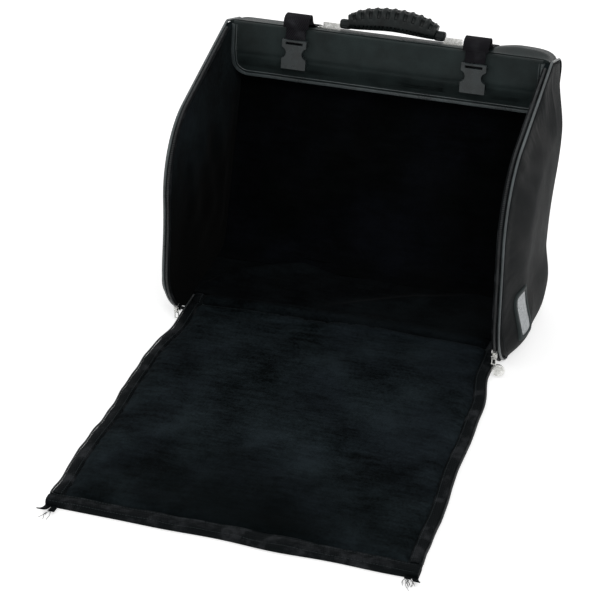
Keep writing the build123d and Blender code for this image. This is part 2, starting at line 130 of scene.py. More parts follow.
def plushFinish(name, dark, light, patch, paintedShadeTone=None, paintedShadeLow=False):  # short velvety pile, brushed both ways
    finish = Finish(name, Sheen_Weight=0.012, Sheen_Roughness=0.4, Specular_IOR_Level=0.03)
    clouds = finish.noise(patch, 8.0, 0.68)
    streaks = finish.noise(1.0, 5.0, 0.65, (22, 130, 130))
    pile = finish.noise(1500, 2.0, 0.7)
    tufts = finish.noise(260, 3.0, 0.65)
    share = finish.between(clouds * 0.56 + streaks * 0.22 + tufts * 0.22, 0.40, 0.60)
    base = finish.mix(share, dark, light)
    # painted sheen: random bluish patches mixed in to stand for the pile's sheen
    sheenPatch = finish.between(finish.noise(7, 2.0), 0.42, 0.6)
    sheenTint = finish.mix(sheenPatch, base, finish.mix(share, tone(5, 6, 9), tone(22, 25, 34)))
    colour = finish.mix(0.35, base, sheenTint)
    if paintedShadeLow:  # painted shade: darker towards the floor, deep inside the case
        low = finish.between(finish.axis("Z") + clouds * 0.12, 0.22, 0.36)
        colour = finish.mix(low, tone(3, 4, 4), colour)
    if paintedShadeTone:  # painted shade: its light tone turns to the shade tone deep inside the case, a painted shade patch lies near the free end, and a painted dark line of shade runs along the hinge crease
        depth, across = finish.axis("Y"), finish.axis("X")
        # painted shade: darkened patch near the free end, where the cloth dips
        patchFar = ((across * 0.62) ** 2.0 + (depth + 0.585) ** 2.0) ** 0.5
        wearAndShade = finish.between(patchFar + clouds * 0.20, 0.14, 0.30)
        colour = finish.mix(wearAndShade, finish.mix(0.75, colour, tone(3, 6, 6)), colour)
        # painted shade: dark line along the hinge crease
        line = (depth + 0.084 - (across * 14.0 + 0.6).sine() * 0.0035).size()
        colour = finish.mix(finish.between(line + clouds * 0.004, 0.003, 0.009, 0.75, 0.0), colour, tone(2, 3, 3))
        # painted shade: deep inside the case the light tone turns to the darker shade tone
        inside = finish.between(depth + clouds * 0.04, -0.078, -0.045)
        colour = finish.mix(inside, colour, finish.mix(share, tone(2, 2, 3), paintedShadeTone))
    normal = finish.bump(clouds, 0.12, 0.004)
    normal = finish.bump(pile, 0.5, 0.0006, finish.bump(tufts, 0.35, 0.0012, normal))
    return finish.feed(Base_Color=finish.mix(finish.between(pile, 0.3, 0.7, 0.0, 0.4), colour, dark),
                       Roughness=finish.between(tufts, 0.3, 0.7, 0.86, 1.0), Normal=normal)


def nylonFinish(name, dark, light, rough):  # close packcloth, lightly scuffed
    finish = Finish(name, Specular_IOR_Level=0.07)
    threads = finish.noise(1.0, 1.0, 0.5, (2600, 500, 2600))
    cross = finish.noise(1.0, 1.0, 0.5, (500, 2600, 500))
    cloudy = finish.noise(14, 4.0, 0.6)
    scuffs = finish.between(finish.noise(1.0, 5.0, 0.7, (40, 25, 90)), 0.6, 0.78)
    colour = finish.mix(finish.between(cloudy, 0.35, 0.65), dark, light)
    colour = finish.mix(scuffs * 0.25, colour, tone(50, 55, 57))
    colour = finish.mix((threads * cross) * 0.5, colour, tone(8, 9, 10))
    normal = finish.bump(threads + cross, 0.35, 0.0005, finish.bump(cloudy, 0.15, 0.004))
    return finish.feed(Base_Color=colour, Normal=normal,
                       Roughness=finish.between(cloudy, 0.3, 0.7, rough - 0.08, rough + 0.12))


def leatherFinish(name, dark, light, rough, shine=0.16):  # coated cloth with a pebbled grain
    finish = Finish(name, Specular_IOR_Level=shine)
    grain = finish.node("ShaderNodeTexVoronoi", {"feature": "DISTANCE_TO_EDGE"},
                        {"Vector": finish.place, "Scale": 900.0, "Randomness": 0.9})
    pores = finish.noise(1900, 2.0)
    cloudy = finish.noise(18, 4.0, 0.6)
    creases = finish.between(finish.noise(1.0, 4.0, 0.7, (8, 60, 90)), 0.62, 0.7)
    colour = finish.mix(finish.between(cloudy, 0.35, 0.65), dark, light)
    colour = finish.mix(finish.between(grain, 0.0, 0.12, 0.35, 0.0), colour, tone(9, 11, 11))
    colour = finish.mix(creases * 0.2, colour, tone(15, 18, 18))
    normal = finish.bump(pores, 0.15, 0.0003, finish.bump(creases, 0.2, 0.001))
    normal = finish.bump(finish.between(grain, 0.0, 0.2), 0.3, 0.0005, normal)
    return finish.feed(Base_Color=colour, Normal=normal,
                       Roughness=finish.between(cloudy, 0.3, 0.7, rough - 0.06, rough + 0.1))


def wovenFinish(name, dark, light, perWidth, perLength, rough=0.75, byPlace=False):  # straps, tapes and bindings
    finish = Finish(name, Specular_IOR_Level=0.05)
    source = finish.place if byPlace else finish.cloth
    warp = (finish.axis("X", source) * (perWidth * math.pi)).sine()  # threads per metre each way, over and under
    weft = (finish.axis("Y", source) * (perLength * math.pi)).sine()
    fuzz = finish.noise(900, 2.0)
    wearAndShade = finish.between(finish.noise(35, 4.0, 0.65), 0.5, 0.72)
    colour = finish.mix(finish.between(warp * weft, -0.6, 0.6), dark, light)
    colour = finish.mix(wearAndShade * 0.3, colour, tone(86, 88, 92))
    normal = finish.bump(fuzz, 0.2, 0.0003, finish.bump(warp * warp * 0.5 + weft * weft * 0.5, 0.6, 0.0007))
    return finish.feed(Base_Color=colour, Normal=normal,
                       Roughness=finish.between(fuzz, 0.3, 0.7, rough - 0.1, rough + 0.1))


def mouldedFinish(name, dark, light, rough, spark=0.5):  # moulded plastic or rubber with fine scratches
    finish = Finish(name, Specular_IOR_Level=spark)
    speckle = finish.noise(1400, 2.0)
    scratch = finish.between(finish.noise(1.0, 4.0, 0.7, (900, 60, 300)), 0.62, 0.7)
    cloudy = finish.noise(60, 3.0)
    colour = finish.mix(finish.between(cloudy, 0.35, 0.65), dark, light)
    colour = finish.mix(scratch * 0.2, colour, tone(120, 126, 128))
    normal = finish.bump(speckle, 0.12, 0.0003, finish.bump(scratch, 0.1, 0.0002))
    return finish.feed(Base_Color=colour, Normal=normal,
                       Roughness=finish.between(cloudy + scratch * 0.4, 0.3, 0.9, rough, rough + 0.2))


def metalFinish(name, bright, wearAndShade, rough):  # plated steel with a few rougher spots whose brownish colour is painted reflection
    finish = Finish(name, Metallic=1.0)
    cloudy = finish.noise(160, 4.0, 0.65)
    brushed = finish.noise(1.0, 3.0, 0.6, (1800, 120, 400))
    # painted reflection: brownish spots, also made rougher
    reflectionSpots = finish.between(finish.noise(420, 4.0, 0.7), 0.62, 0.74)
    colour = finish.mix(finish.between(cloudy, 0.35, 0.65), bright, wearAndShade)
    normal = finish.bump(brushed, 0.08, 0.0003, finish.bump(cloudy, 0.1, 0.0006))
    return finish.feed(Base_Color=finish.mix(reflectionSpots * 0.6, colour, tone(116, 98, 62)), Normal=normal,
                       Roughness=finish.between(cloudy + reflectionSpots * 0.5, 0.3, 1.0, rough, rough + 0.3))


def paneFinish(name):  # clouded soft plastic
    finish = Finish(name, Specular_IOR_Level=0.55, IOR=1.48)
    haze = finish.noise(45, 4.0, 0.6)
    return finish.feed(Base_Color=finish.mix(haze, tone(196, 201, 203), tone(232, 236, 238)),
                       Alpha=finish.between(haze, 0.3, 0.7, 0.28, 0.45),
                       Roughness=finish.between(haze, 0.3, 0.7, 0.1, 0.25),
                       Normal=finish.bump(finish.noise(90, 2.0), 0.25, 0.002))


def cardFinish(name):
    finish = Finish(name, Specular_IOR_Level=0.2)
    fibre = finish.noise(700, 3.0)
    stain = finish.between(finish.noise(40, 4.0), 0.4, 0.7)
    return finish.feed(Base_Color=finish.mix(stain, tone(214, 217, 218), tone(186, 190, 192)),
                       Roughness=finish.between(fibre, 0.3, 0.7, 0.75, 0.95), Normal=finish.bump(fibre, 0.2, 0.0003))


recipes = {
    # darker copy of the plush: painted shade inside the case
    "shadedInsidePlush": (plushFinish, tone(2, 3, 3), tone(10, 12, 13), 10),
    # panelPlush: its last tone is painted shade deep inside the case
    "panelPlush": (plushFinish, tone(4, 7, 8), tone(40, 49, 53), 8.5, tone(19, 23, 25)),
    # sidePlush: the last True turns on painted shade low down
    "sidePlush": (plushFinish, tone(2, 3, 3), tone(30, 40, 43), 9, None, True),
    "outerNylon": (nylonFinish, tone(9, 11, 12), tone(21, 24, 25), 0.6),
    "coatedCloth": (leatherFinish, tone(28, 35, 35), tone(44, 54, 54), 0.5),
    "boundEdge": (wovenFinish, tone(6, 8, 9), tone(20, 24, 26), 700, 260),
    # pale tones on a black glossy piping: painted highlight
    "highlightedCord": (leatherFinish, tone(48, 55, 56), tone(84, 93, 95), 0.3, 0.6),
    "zipTape": (wovenFinish, tone(9, 10, 11), tone(24, 27, 29), 1400, 420),
    "zipTeeth": (mouldedFinish, tone(22, 24, 25), tone(48, 52, 54), 0.3),
    "strapWeave": (wovenFinish, tone(16, 16, 18), tone(38, 37, 41), 620, 430),
    "anchorWeave": (wovenFinish, tone(16, 16, 18), tone(38, 37, 41), 620, 430, 0.75, True),
    "buckleShell": (mouldedFinish, tone(30, 36, 37), tone(48, 55, 56), 0.2, 0.4),
    "gripRubber": (mouldedFinish, tone(14, 18, 18), tone(28, 34, 34), 0.36, 0.22),
    "plated": (metalFinish, tone(240, 240, 238), tone(196, 196, 192), 0.12),
    "pane": (paneFinish,),
    "card": (cardFinish,),
    "thread": (wovenFinish, tone(30, 35, 36), tone(62, 69, 71), 1500, 1500, 0.6),
}
finishes = {name: maker(name, *choices) for name, (maker, *choices) in recipes.items()}
print("finishes made")


def softNoise(first, second, size, seed):  # seven plane waves in random directions, summed to about -1..1
    random = np.random.default_rng(seed).random((7, 3))
    waves = [np.sin(2 * math.pi / size * (0.6 + 0.9 * stretch)
                    * (first * math.cos(6.283 * turn) + second * math.sin(6.283 * turn)) + 6.283 * phase)
             for turn, phase, stretch in random]
    return sum(waves) / 3.2


def smoothStep(value, low, high):  # 0 below low, 1 above high, eased between
    share = np.clip((value - low) / (high - low), 0, 1)
    return share * share * (3 - 2 * share)


def power(value, amount):  # keeps the sign
    return np.sign(value) * np.abs(value) ** amount


def bellCurve(value, middle, reach):  # 1 at the middle, near 0 past twice the reach
    return np.exp(-((value - middle) / reach) ** 2)


def gridQuads(rows, columns, start=0, closeRows=False, closeColumns=False):
    index = np.arange(rows * columns).reshape(rows, columns) + start
    if closeRows:
        index = np.vstack([index, index[:1]])
    if closeColumns:
        index = np.hstack([index, index[:, :1]])
    return np.stack([index[:-1, :-1], index[1:, :-1], index[1:, 1:], index[:-1, 1:]], -1).reshape(-1, 4)


def ringWalls(first, second, columns):  # quads between two closed rings of points
    rim = np.arange(columns)
    after = np.roll(rim, -1)
    return np.stack([rim + first, after + first, after + second, rim + second], -1)


def runLength(points):  # distance along a row of points, from its start
    return np.concatenate([[0], np.cumsum(np.linalg.norm(np.diff(points, axis=0), axis=1))])


def atLengths(points, length, at):
    return np.stack([np.interp(at, length, points[:, axis]) for axis in range(points.shape[1])], -1)


def makePiece(name, verts, faces, finish, coords, sharp=42, merge=2e-6):
    mesh = bpy.data.meshes.new(name)
    mesh.from_pydata(np.asarray(verts, float).reshape(-1, 3).tolist(), [], [list(map(int, face)) for face in faces])
    layer = mesh.uv_layers.new(name="cloth")  # metres across and along the cloth
    loops = np.zeros(len(mesh.loops), np.int32)
    mesh.loops.foreach_get("vertex_index", loops)
    layer.data.foreach_set("uv", np.asarray(coords, np.float32).reshape(-1, 2)[loops].ravel())
    work = bmesh.new()
    work.from_mesh(mesh)
    bmesh.ops.remove_doubles(work, verts=work.verts, dist=merge)
    bmesh.ops.dissolve_degenerate(work, edges=work.edges, dist=merge / 2)
    bmesh.ops.recalc_face_normals(work, faces=work.faces)
    work.to_mesh(mesh)
    work.free()
    mesh.materials.append(finishes[finish])
    mesh.shade_smooth()
    mesh.set_sharp_from_angle(angle=math.radians(sharp))
    piece = bpy.data.objects.new(name, mesh)
    bpy.context.scene.collection.objects.link(piece)
    return piece


def settle(piece, body, *stands, fill=None):  # padding (fill) is not used; body and the nodes it stands for
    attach(piece, body)
    if stands:
        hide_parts(*stands)


def slabPiece(name, top, bottom, finish, slotName):  # closed skin between two grids of the same shape
    rows, columns = top.shape[:2]
    count = rows * columns
    index = np.arange(count).reshape(rows, columns)
    rim = np.concatenate([index[0, :], index[1:, -1], index[-1, -2::-1], index[-2:0:-1, 0]])
    after = np.roll(rim, -1)
    walls = np.stack([rim, after, after + count, rim + count], -1)
    faces = np.vstack([gridQuads(rows, columns), gridQuads(rows, columns, count)[:, ::-1], walls])
    coords = np.stack(np.meshgrid(runLength(top[rows // 2]), runLength(top[:, columns // 2])), -1).reshape(-1, 2)
    return makePiece(name, np.concatenate([top.reshape(-1, 3), bottom.reshape(-1, 3)]), faces, finish,
                     np.concatenate([coords] * 2))


def roundShell(name, face, inner, finish):  # closed skin between two sets of rings that meet outside
    rows, columns = face.shape[:2]
    count = rows * columns
    verts = np.concatenate([face.reshape(-1, 3), inner.reshape(-1, 3)])
    faces = np.vstack([gridQuads(rows, columns, 0, False, True), gridQuads(2, columns, count, False, True),
                       ringWalls(0, count, columns)])
    return makePiece(name, verts, faces, finish, verts[:, 1:], 60, 5e-6)


def tubePiece(name, grid, finish, coords, sharp=42):  # closed rings in a row, capped at both ends
    rows, columns = grid.shape[:2]
    caps = [list(range(columns)), list(range((rows - 1) * columns, rows * columns))[::-1]]
    faces = gridQuads(rows, columns, 0, False, True).tolist() + caps
    return makePiece(name, grid.reshape(-1, 3), faces, finish, coords, sharp)


def sweep(path, side, section, closed=False):  # a flat section carried along a path; side is its first axis
    path = np.asarray(path, float)
    tangent = np.roll(path, -1, 0) - np.roll(path, 1, 0) if closed else np.gradient(path, axis=0)
    tangent /= np.linalg.norm(tangent, axis=1)[:, None]
    side = np.broadcast_to(np.asarray(side, float), path.shape)
    normal = np.cross(tangent, side)
    normal /= np.linalg.norm(normal, axis=1)[:, None]
    section = np.asarray(section, float)
    return path[:, None] + section[None, :, :1] * side[:, None] + section[None, :, 1:] * normal[:, None]


def sweptPiece(name, paths, side, section, finish, closed=False):
    verts, faces, coords, start = [], [], [], 0
    for path in paths:
        grid = sweep(path, side, section, closed)
        rows, columns = grid.shape[:2]
        verts.append(grid.reshape(-1, 3))
        coords.append(np.stack(np.meshgrid(runLength(grid[0]), runLength(grid[:, 0])), -1).reshape(-1, 2))
        faces += gridQuads(rows, columns, start, closed, True).tolist()
        if not closed:
            faces.append(list(range(start, start + columns)))
            faces.append(list(range(start + (rows - 1) * columns, start + rows * columns))[::-1])
        start += rows * columns
    return makePiece(name, np.concatenate(verts), faces, finish, np.concatenate(coords), 50)


def cordPiece(name, path, radius, finish, side=(1, 0, 0), sides=10, closed=False):
    return sweptPiece(name, [path], side, roundSection(radius, sides), finish, closed)


def roundSection(radius, sides=10):
    angle = np.arange(sides) * 2 * math.pi / sides
    return np.stack([radius * np.cos(angle), radius * np.sin(angle)], -1)


def ribbonSection(width, thickness):  # flat strap with eased edges
    w, t, b = width / 2, thickness / 2, thickness / 4
    return np.array([(-w + b, -t), (0, -t), (w - b, -t), (w, -t + b), (w, t - b),
                     (w - b, t), (0, t), (-w + b, t), (-w, t - b), (-w, -t + b)])


def pillShape(length, width, height, rings=4):  # stretched ball with blunt ends
    across = np.linspace(0, math.pi, rings + 2)[:, None]
    around = np.arange(6) * 2 * math.pi / 6
    x = -np.cos(across) * length / 2 * np.ones(6)
    y = (np.sin(across) ** 0.6) * np.cos(around) * width / 2
    z = (np.sin(across) ** 0.6) * np.sin(around) * height / 2
    return np.stack([x, y, z], -1).reshape(-1, 3), gridQuads(rings + 2, 6, 0, False, True)


def repeated(name, places, along, up, shape, finish):  # one small shape at many places
    places, along, up = (np.asarray(value, float) for value in (places, along, up))
    along = along / np.linalg.norm(along, axis=1)[:, None]
    side = np.cross(along, up)
    side /= np.linalg.norm(side, axis=1)[:, None]
    up = np.cross(side, along)
    verts, faces = (np.asarray(part) for part in shape)
    reflectionSpots = places[:, None] + verts[None, :, :1] * along[:, None]
    reflectionSpots = reflectionSpots + verts[None, :, 1:2] * side[:, None] + verts[None, :, 2:] * up[:, None]
    everyFace = (faces[None] + (np.arange(len(places)) * len(verts))[:, None, None]).reshape(-1, faces.shape[1])
    return makePiece(name, reflectionSpots.reshape(-1, 3), everyFace, finish,
                     np.tile(verts[:, :2], (len(places), 1)), 60, 1e-7)


def spaced(path, step):  # points at even steps along a path, with their directions
    path = np.asarray(path, float)
    length = runLength(path)
    at = np.arange(step / 2, length[-1], step)
    points, ahead, behind = (atLengths(path, length, at + shift) for shift in (0, step / 4, -step / 4))
    return points, ahead - behind


def stitches(name, path, up, pitch=0.0042, length=0.0030, width=0.0009):
    points, along = spaced(path, pitch)
    up = np.broadcast_to(np.asarray(up, float), points.shape)
    return repeated(name, points, along, up, pillShape(length, width, width * 0.8), "thread")


# Outline of the sides, in (depth, height)
outlineSizes = {"lowerRadius": 0.103782, "lowerCentre": (-0.048218, 0.095), "upperRadius": 0.112,
                "upperCentre": (-0.040, 0.213), "topSlope": 12.0, "slopeStart": (-0.063, 0.3226),
                "peak": (0.137, 0.36512), "backTop": (0.215, 0.33673), "backFoot": (0.090, 0.0),
                "frontFoot": (-0.090, 0.0), "peakRadius": 0.008, "topBackRadius": 0.022, "baseBackRadius": 0.050,
                "samples": 900}


def roundedCorner(before, corner, after, radius, count=16):  # arc that touches both straight runs
    before, corner, after = (np.asarray(value, float) for value in (before, corner, after))
    first, second = ((end - corner) / np.linalg.norm(end - corner) for end in (before, after))
    half = math.acos(float(np.clip(first @ second, -1, 1))) / 2
    middle = (first + second) / np.linalg.norm(first + second)
    centre = corner + middle * radius / math.sin(half)
    start, end = corner + first * radius / math.tan(half), corner + second * radius / math.tan(half)
    a0, a1 = math.atan2(*(start - centre)[::-1]), math.atan2(*(end - centre)[::-1])
    angle = a0 + ((a1 - a0 + math.pi) % (2 * math.pi) - math.pi) * np.linspace(0, 1, count)
    return centre + radius * np.stack([np.cos(angle), np.sin(angle)], -1)


def sideOutline():  # lower arc, upright, upper arc, sloping top, falling strip, leaning back and flat base
    s = outlineSizes
    foot = 180 + math.degrees(math.asin(s["lowerCentre"][1] / s["lowerRadius"]))
    low = np.radians(np.linspace(foot, 180, 60))
    high = np.radians(np.linspace(180, 90 + s["topSlope"], 60))
    start = np.array(s["frontFoot"])
    parts = [np.array(s["lowerCentre"]) + s["lowerRadius"] * np.stack([np.cos(low), np.sin(low)], -1),
             np.array(s["upperCentre"]) + s["upperRadius"] * np.stack([np.cos(high), np.sin(high)], -1),
             roundedCorner(s["slopeStart"], s["peak"], s["backTop"], s["peakRadius"]),
             roundedCorner(s["peak"], s["backTop"], s["backFoot"], s["topBackRadius"]),
             roundedCorner(s["backTop"], s["backFoot"], start, s["baseBackRadius"]), start[None]]
    path = np.concatenate(parts)
    length = runLength(path)
    return atLengths(path, length, np.linspace(0, length[-1], s["samples"], endpoint=False))


outline = sideOutline()
outlineTurn = np.roll(outline, -3, 0) - np.roll(outline, 3, 0)
outlineTurn /= np.linalg.norm(outlineTurn, axis=1)[:, None]
outlineNormal = np.stack([-outlineTurn[:, 1], outlineTurn[:, 0]], -1)  # points outwards


def offsetOutline(inward, lowest=None):
    path = outline - outlineNormal * np.asarray(inward).reshape(-1, 1)
    if lowest is not None:
        path[:, 1] = np.maximum(path[:, 1], lowest)
    return path


def nearestSample(depth, height):
    return int(np.argmin(np.hypot(outline[:, 0] - depth, outline[:, 1] - height)))


def inPlane(flat, x):  # (depth, height) points at one x; the left side stands a little outwards low at the opening
    flat = np.asarray(flat, float)
    x = np.broadcast_to(np.asarray(x, float), flat.shape[:-1])
    splay = 0.0055 * bellCurve(flat[..., 1], 0.075, 0.075) * (1 - smoothStep(flat[..., 0], -0.15, 0.0)) * (x < -0.2)
    return np.stack([x - splay, flat[..., 0], flat[..., 1]], -1)


# Padded sides
sideSizes = {"halfWidth": 0.245, "liningPlane": 0.235, "coverBack": 0.2425, "liningBack": 0.2422,
             "seamInset": 0.0036, "liningInset": 0.0022, "crown": 0.036, "middle": (0.0298, 0.184), "flatShare": 0.5,
             "cordInset": 0.0004, "cordX": 0.2447, "cordRadius": 0.0020, "flangeInset": 0.0018, "flangeX": 0.2466,
             "flangeRadius": 0.0012, "stitchInset": 0.0072}
middle = np.array(sideSizes["middle"])
seamRing = offsetOutline(sideSizes["seamInset"])
seamAngle = np.arctan2(seamRing[:, 1] - middle[1], seamRing[:, 0] - middle[0])
order = np.argsort(seamAngle)
seamReach = np.hypot(*(seamRing - middle).T)


def pillowHeight(depth, height):  # swell of the side: eased from the seam to a flat middle, fuller low down, with soft folds
    angle = np.arctan2(height - middle[1], depth - middle[0])
    reach = np.interp(angle, seamAngle[order], seamReach[order], period=2 * math.pi)
    fromSeam = 1 - np.hypot(depth - middle[0], height - middle[1]) / reach
    share = np.clip(fromSeam / (1 - sideSizes["flatShare"]), 0, 1)
    low = 1 - smoothStep(height, 0.03, 0.11)
    fuller = 0.54 + 0.50 * low
    share = share ** (1 - 0.50 * low)
    swell = fuller * sideSizes["crown"] * (1 - np.cos(math.pi * share)) / 2 + 0.0035 * np.clip(share * 9, 0, 1) ** 0.5
    edge = np.clip(share * 5, 0, 1) * np.clip((1 - share) * 1.4, 0, 1)
    puckers = 0.0011 * edge * np.exp(-share * 5) * softNoise(angle * 0.18, share * 0.01, 0.02, 5)
    folds = 0.0022 * edge * softNoise(depth, height, 0.11, 8)
    upper = 0.0030 * bellCurve(height, 0.27, 0.035) * np.sin((depth * 0.6 + height) * 150) * edge
    slack = 0.0018 * np.clip(share * 3, 0, 1) * softNoise(depth, height, 0.19, 21)
    return swell + puckers + folds + upper * bellCurve(depth, -0.03, 0.06) + slack


def roundGrid(ring, rings):  # rings of an outline shrinking to its middle
    return middle + np.linspace(1, 0, rings)[:, None, None] * (ring[None] - middle)


def outwards(flat, x):  # the same points moved to an x of their own
    return np.stack([x, np.zeros(len(flat)), np.zeros(len(flat))], -1)


for sign, name in ((-1, "left"), (1, "right")):
    s = sideSizes
    ring = offsetOutline(s["seamInset"])[::2]
    flat = roundGrid(ring, 56)
    face = inPlane(flat, sign * (s["halfWidth"] - 0.0005 + pillowHeight(flat[..., 0], flat[..., 1])))
    inner = inPlane(roundGrid(ring, 2), sign * s["coverBack"])
    pillow = roundShell(f"sidePillow_{name}", face, inner, "outerNylon")
    settle(pillow, "case", f"side_cover_{name}", f"side_foam_{name}", fill=0.8)

    # soft inner face, flat near the opening and the flap
    flat = roundGrid(offsetOutline(s["liningInset"])[::3], 60)
    share = 1 - np.hypot(*(flat - middle).transpose(2, 0, 1)) / np.hypot(*(flat[0] - middle).T)
    clear = smoothStep(share, 0.22, 0.5) * (1 - smoothStep(flat[..., 1], 0.22, 0.26))
    swell = clear * (0.0016 + 0.0014 * softNoise(flat[..., 0], flat[..., 1], 0.09, 31))
    face = inPlane(flat, sign * (s["liningPlane"] + 0.0001 - swell))
    backMiddle = np.broadcast_to(middle, flat[:1].shape)
    inner = np.concatenate([inPlane(part, sign * s["liningBack"]) for part in (flat[:1], backMiddle)])
    lining = roundShell(f"sidePlush_{name}", face, inner, "sidePlush")
    settle(lining, "case", f"side_lining_{name}", fill=0.5)

    # piping round the seam, with the folded flange beside it
    cordPath = inPlane(offsetOutline(s["cordInset"], 0.0021), sign * s["cordX"])
    cord = cordPiece(f"piping_{name}.cord", cordPath, s["cordRadius"], "highlightedCord", closed=True)
    settle(cord, "case", f"piping_{name}")
    flangePath = inPlane(offsetOutline(s["flangeInset"], 0.0012), sign * s["flangeX"])
    flange = cordPiece(f"piping_{name}.flange", flangePath, s["flangeRadius"], "boundEdge", sides=8, closed=True)
    settle(flange, "case")
    seamLine = offsetOutline(s["stitchInset"])
    seamX = sign * (s["halfWidth"] - 0.0004 + pillowHeight(*seamLine.T))
    seamPath = inPlane(seamLine, 0) + outwards(seamLine, seamX)
    settle(stitches(f"piping_{name}.stitching", seamPath, (sign, 0, 0)), "case")
print("sides made")

# Base, back and top strip
shellSizes = {"outerHalf": 0.2416, "stripHalf": 0.2412, "backingHalf": 0.2350, "liningHalf": 0.2346, "liningFace": 0.0128}
foldSample = nearestSample(0.138, 0.3648)
topSeam = nearestSample(0.2078, 0.3172)
backSeam = nearestSample(0.1042, 0.0175)
baseEnd = len(outline) - 1


def band(first, last, inward, halfWidth, across, push=None):  # stretch of the outline, drawn across the width
    index = np.arange(first, last + 1) % len(outline)
    x = np.linspace(-halfWidth, halfWidth, across)
    base, normal = outline[index], outlineNormal[index]
    amount = np.broadcast_to(np.asarray(inward, float), (len(index), across)).copy()
    if push is not None:
        amount = amount - push(base[:, :1], base[:, 1:], x[None])
    flat = base[:, None] - normal[:, None] * amount[..., None]
    return np.stack([np.broadcast_to(x[None], amount.shape), flat[..., 0], flat[..., 1]], -1)


def edgeFade(x, half, reach):  # 0 at both edges, near 1 inside
    return 1 - np.exp(-(half - np.abs(x)) / reach)


def backCrown(depth, height, x):  # padding of the back swells between its seams
    along = np.clip(np.minimum(height - 0.02, 0.315 - height) / 0.05, 0, 1)
    slack = 0.0008 * softNoise(x + 0 * height, height + 0 * x, 0.12, 41) * along
    return 0.0045 * along ** 0.6 * edgeFade(x, 0.236, 0.03) + slack


def innerFolds(depth, height, x):  # the pile lining is slack and lies in low folds
    across, along = x + 0 * height, height + depth + 0 * x
    folds = 0.0016 * softNoise(across, along, 0.16, 51) + 0.0006 * softNoise(across, along, 0.05, 52)
    return -folds * edgeFade(x, 0.2345, 0.02)


def stripShape(depth, height, x):  # board-backed strip, rounded down at both ends and full behind the right strap
    bulge = 0.0100 * smoothStep(x, 0.118, 0.190) * smoothStep(depth, 0.142, 0.165) * edgeFade(x, 0.2412, 0.012)
    return 0.0030 - 0.0034 * (1 - edgeFade(x, 0.2412, 0.004)) + bulge + 0 * height


def outerBand(name, span, level, half, across, push, backing, finish):
    face = band(*span, level, half, across, push)
    return slabPiece(name, face, band(*span, backing, shellSizes["backingHalf"], across), finish, "nylon")


def liningBand(name, span, backing, across):
    half = shellSizes["liningHalf"]
    face = band(*span, shellSizes["liningFace"], half, across, innerFolds)
    return slabPiece(name, face, band(*span, backing, half, across), "shadedInsidePlush", "plush")


z = shellSizes
back = outerBand("backOuter", (topSeam, backSeam), 0.0002, z["outerHalf"], 160, backCrown, 0.008, "outerNylon")
settle(back, "case", "back_cover", "back_foam", fill=0.8)
settle(liningBand("backPlush", (topSeam + 2, backSeam), 0.009, 140), "case", "back_lining", fill=0.4)
strip = outerBand("topOuter", (foldSample, topSeam), 0.0, z["stripHalf"], 160, stripShape, 0.0075, "coatedCloth")
settle(strip, "case", "top_cover", "top_board")
settle(liningBand("topPlush", (foldSample, topSeam), 0.0078, 120), "case", "top_lining", fill=0.4)
base = outerBand("baseOuter", (backSeam, baseEnd), 0.0, z["outerHalf"], 60, None, 0.005, "coatedCloth")
settle(base, "case", "base_cover", "base_board")

hingeSizes = {"hingeY": -0.090, "cutY": -0.066,
              "gathers": ((-0.088, 0.010), (-0.052, 0.012), (-0.020, 0.009), (0.014, 0.011), (0.046, 0.010))}


def creaseDip(x, y):  # valley where the base meets the gusset, drawn together by a few gathers
    line = hingeSizes["hingeY"] + 0.006 + 0.0035 * np.sin(x * 14 + 0.6) + 0.0015 * np.sin(x * 41)
    off = y - line
    ridge = 0.0022 * bellCurve(off, 0.014, 0.009) + 0.0016 * bellCurve(off, -0.015, 0.010)
    gathers = sum(0.0044 * bellCurve(x, at, 0.0032) * bellCurve(off, 0, reach) for at, reach in hingeSizes["gathers"])
    return -0.0078 * bellCurve(off, 0, 0.0050) + ridge - gathers


def floorLining(x, y):  # height of the slack lining over the base, with one long fold from the left corner to the back
    base = 0.0126 + 0.0012 * softNoise(x, y, 0.12, 61)
    first = -0.052 + 0.16 * (1 - np.exp(-(x + 0.235) / 0.10)) * 0.82
    second = -0.062 + 0.45 * (x + 0.06)
    folds = ((first, 0.0105, 0.0085, (-0.235, -0.19, 0.0, 0.16)), (second, 0.0060, 0.013, (-0.06, 0.02, 0.12, 0.22)))
    for line, rise, reach, ends in folds:
        base = base + rise * bellCurve(y, line, reach) * smoothStep(x, *ends[:2]) * (1 - smoothStep(x, *ends[2:]))
    return base + creaseDip(x, y)


def flatGrid(x0, x1, y0, y1, step):
    return np.meshgrid(np.linspace(x0, x1, int((x1 - x0) / step) + 2), np.linspace(y0, y1, int((y1 - y0) / step) + 2))


x, y = flatGrid(-z["liningHalf"], z["liningHalf"], hingeSizes["cutY"], 0.046, 0.0022)
top, bottom = (np.stack([x, y, level], -1) for level in (floorLining(x, y), 0 * x + 0.0052))
settle(slabPiece("basePlush", top, bottom, "panelPlush", "plush"), "case", "base_lining", fill=0.4)
turned = liningBand("baseTurn", (backSeam - 1, nearestSample(0.044, 0.0)), 0.0052, 110)
settle(turned, "case", "base_lining", fill=0.4)
x = np.linspace(-0.233, 0.233, 120)
weltPath = np.stack([x, 0.074 + 0.002 * np.sin(x * 23), 0.0165 + 0 * x], -1)
settle(cordPiece("baseCornerWelt", weltPath, 0.0016, "shadedInsidePlush", (0, 0.3, 0.954), 8), "case")
print("base, back and top made")

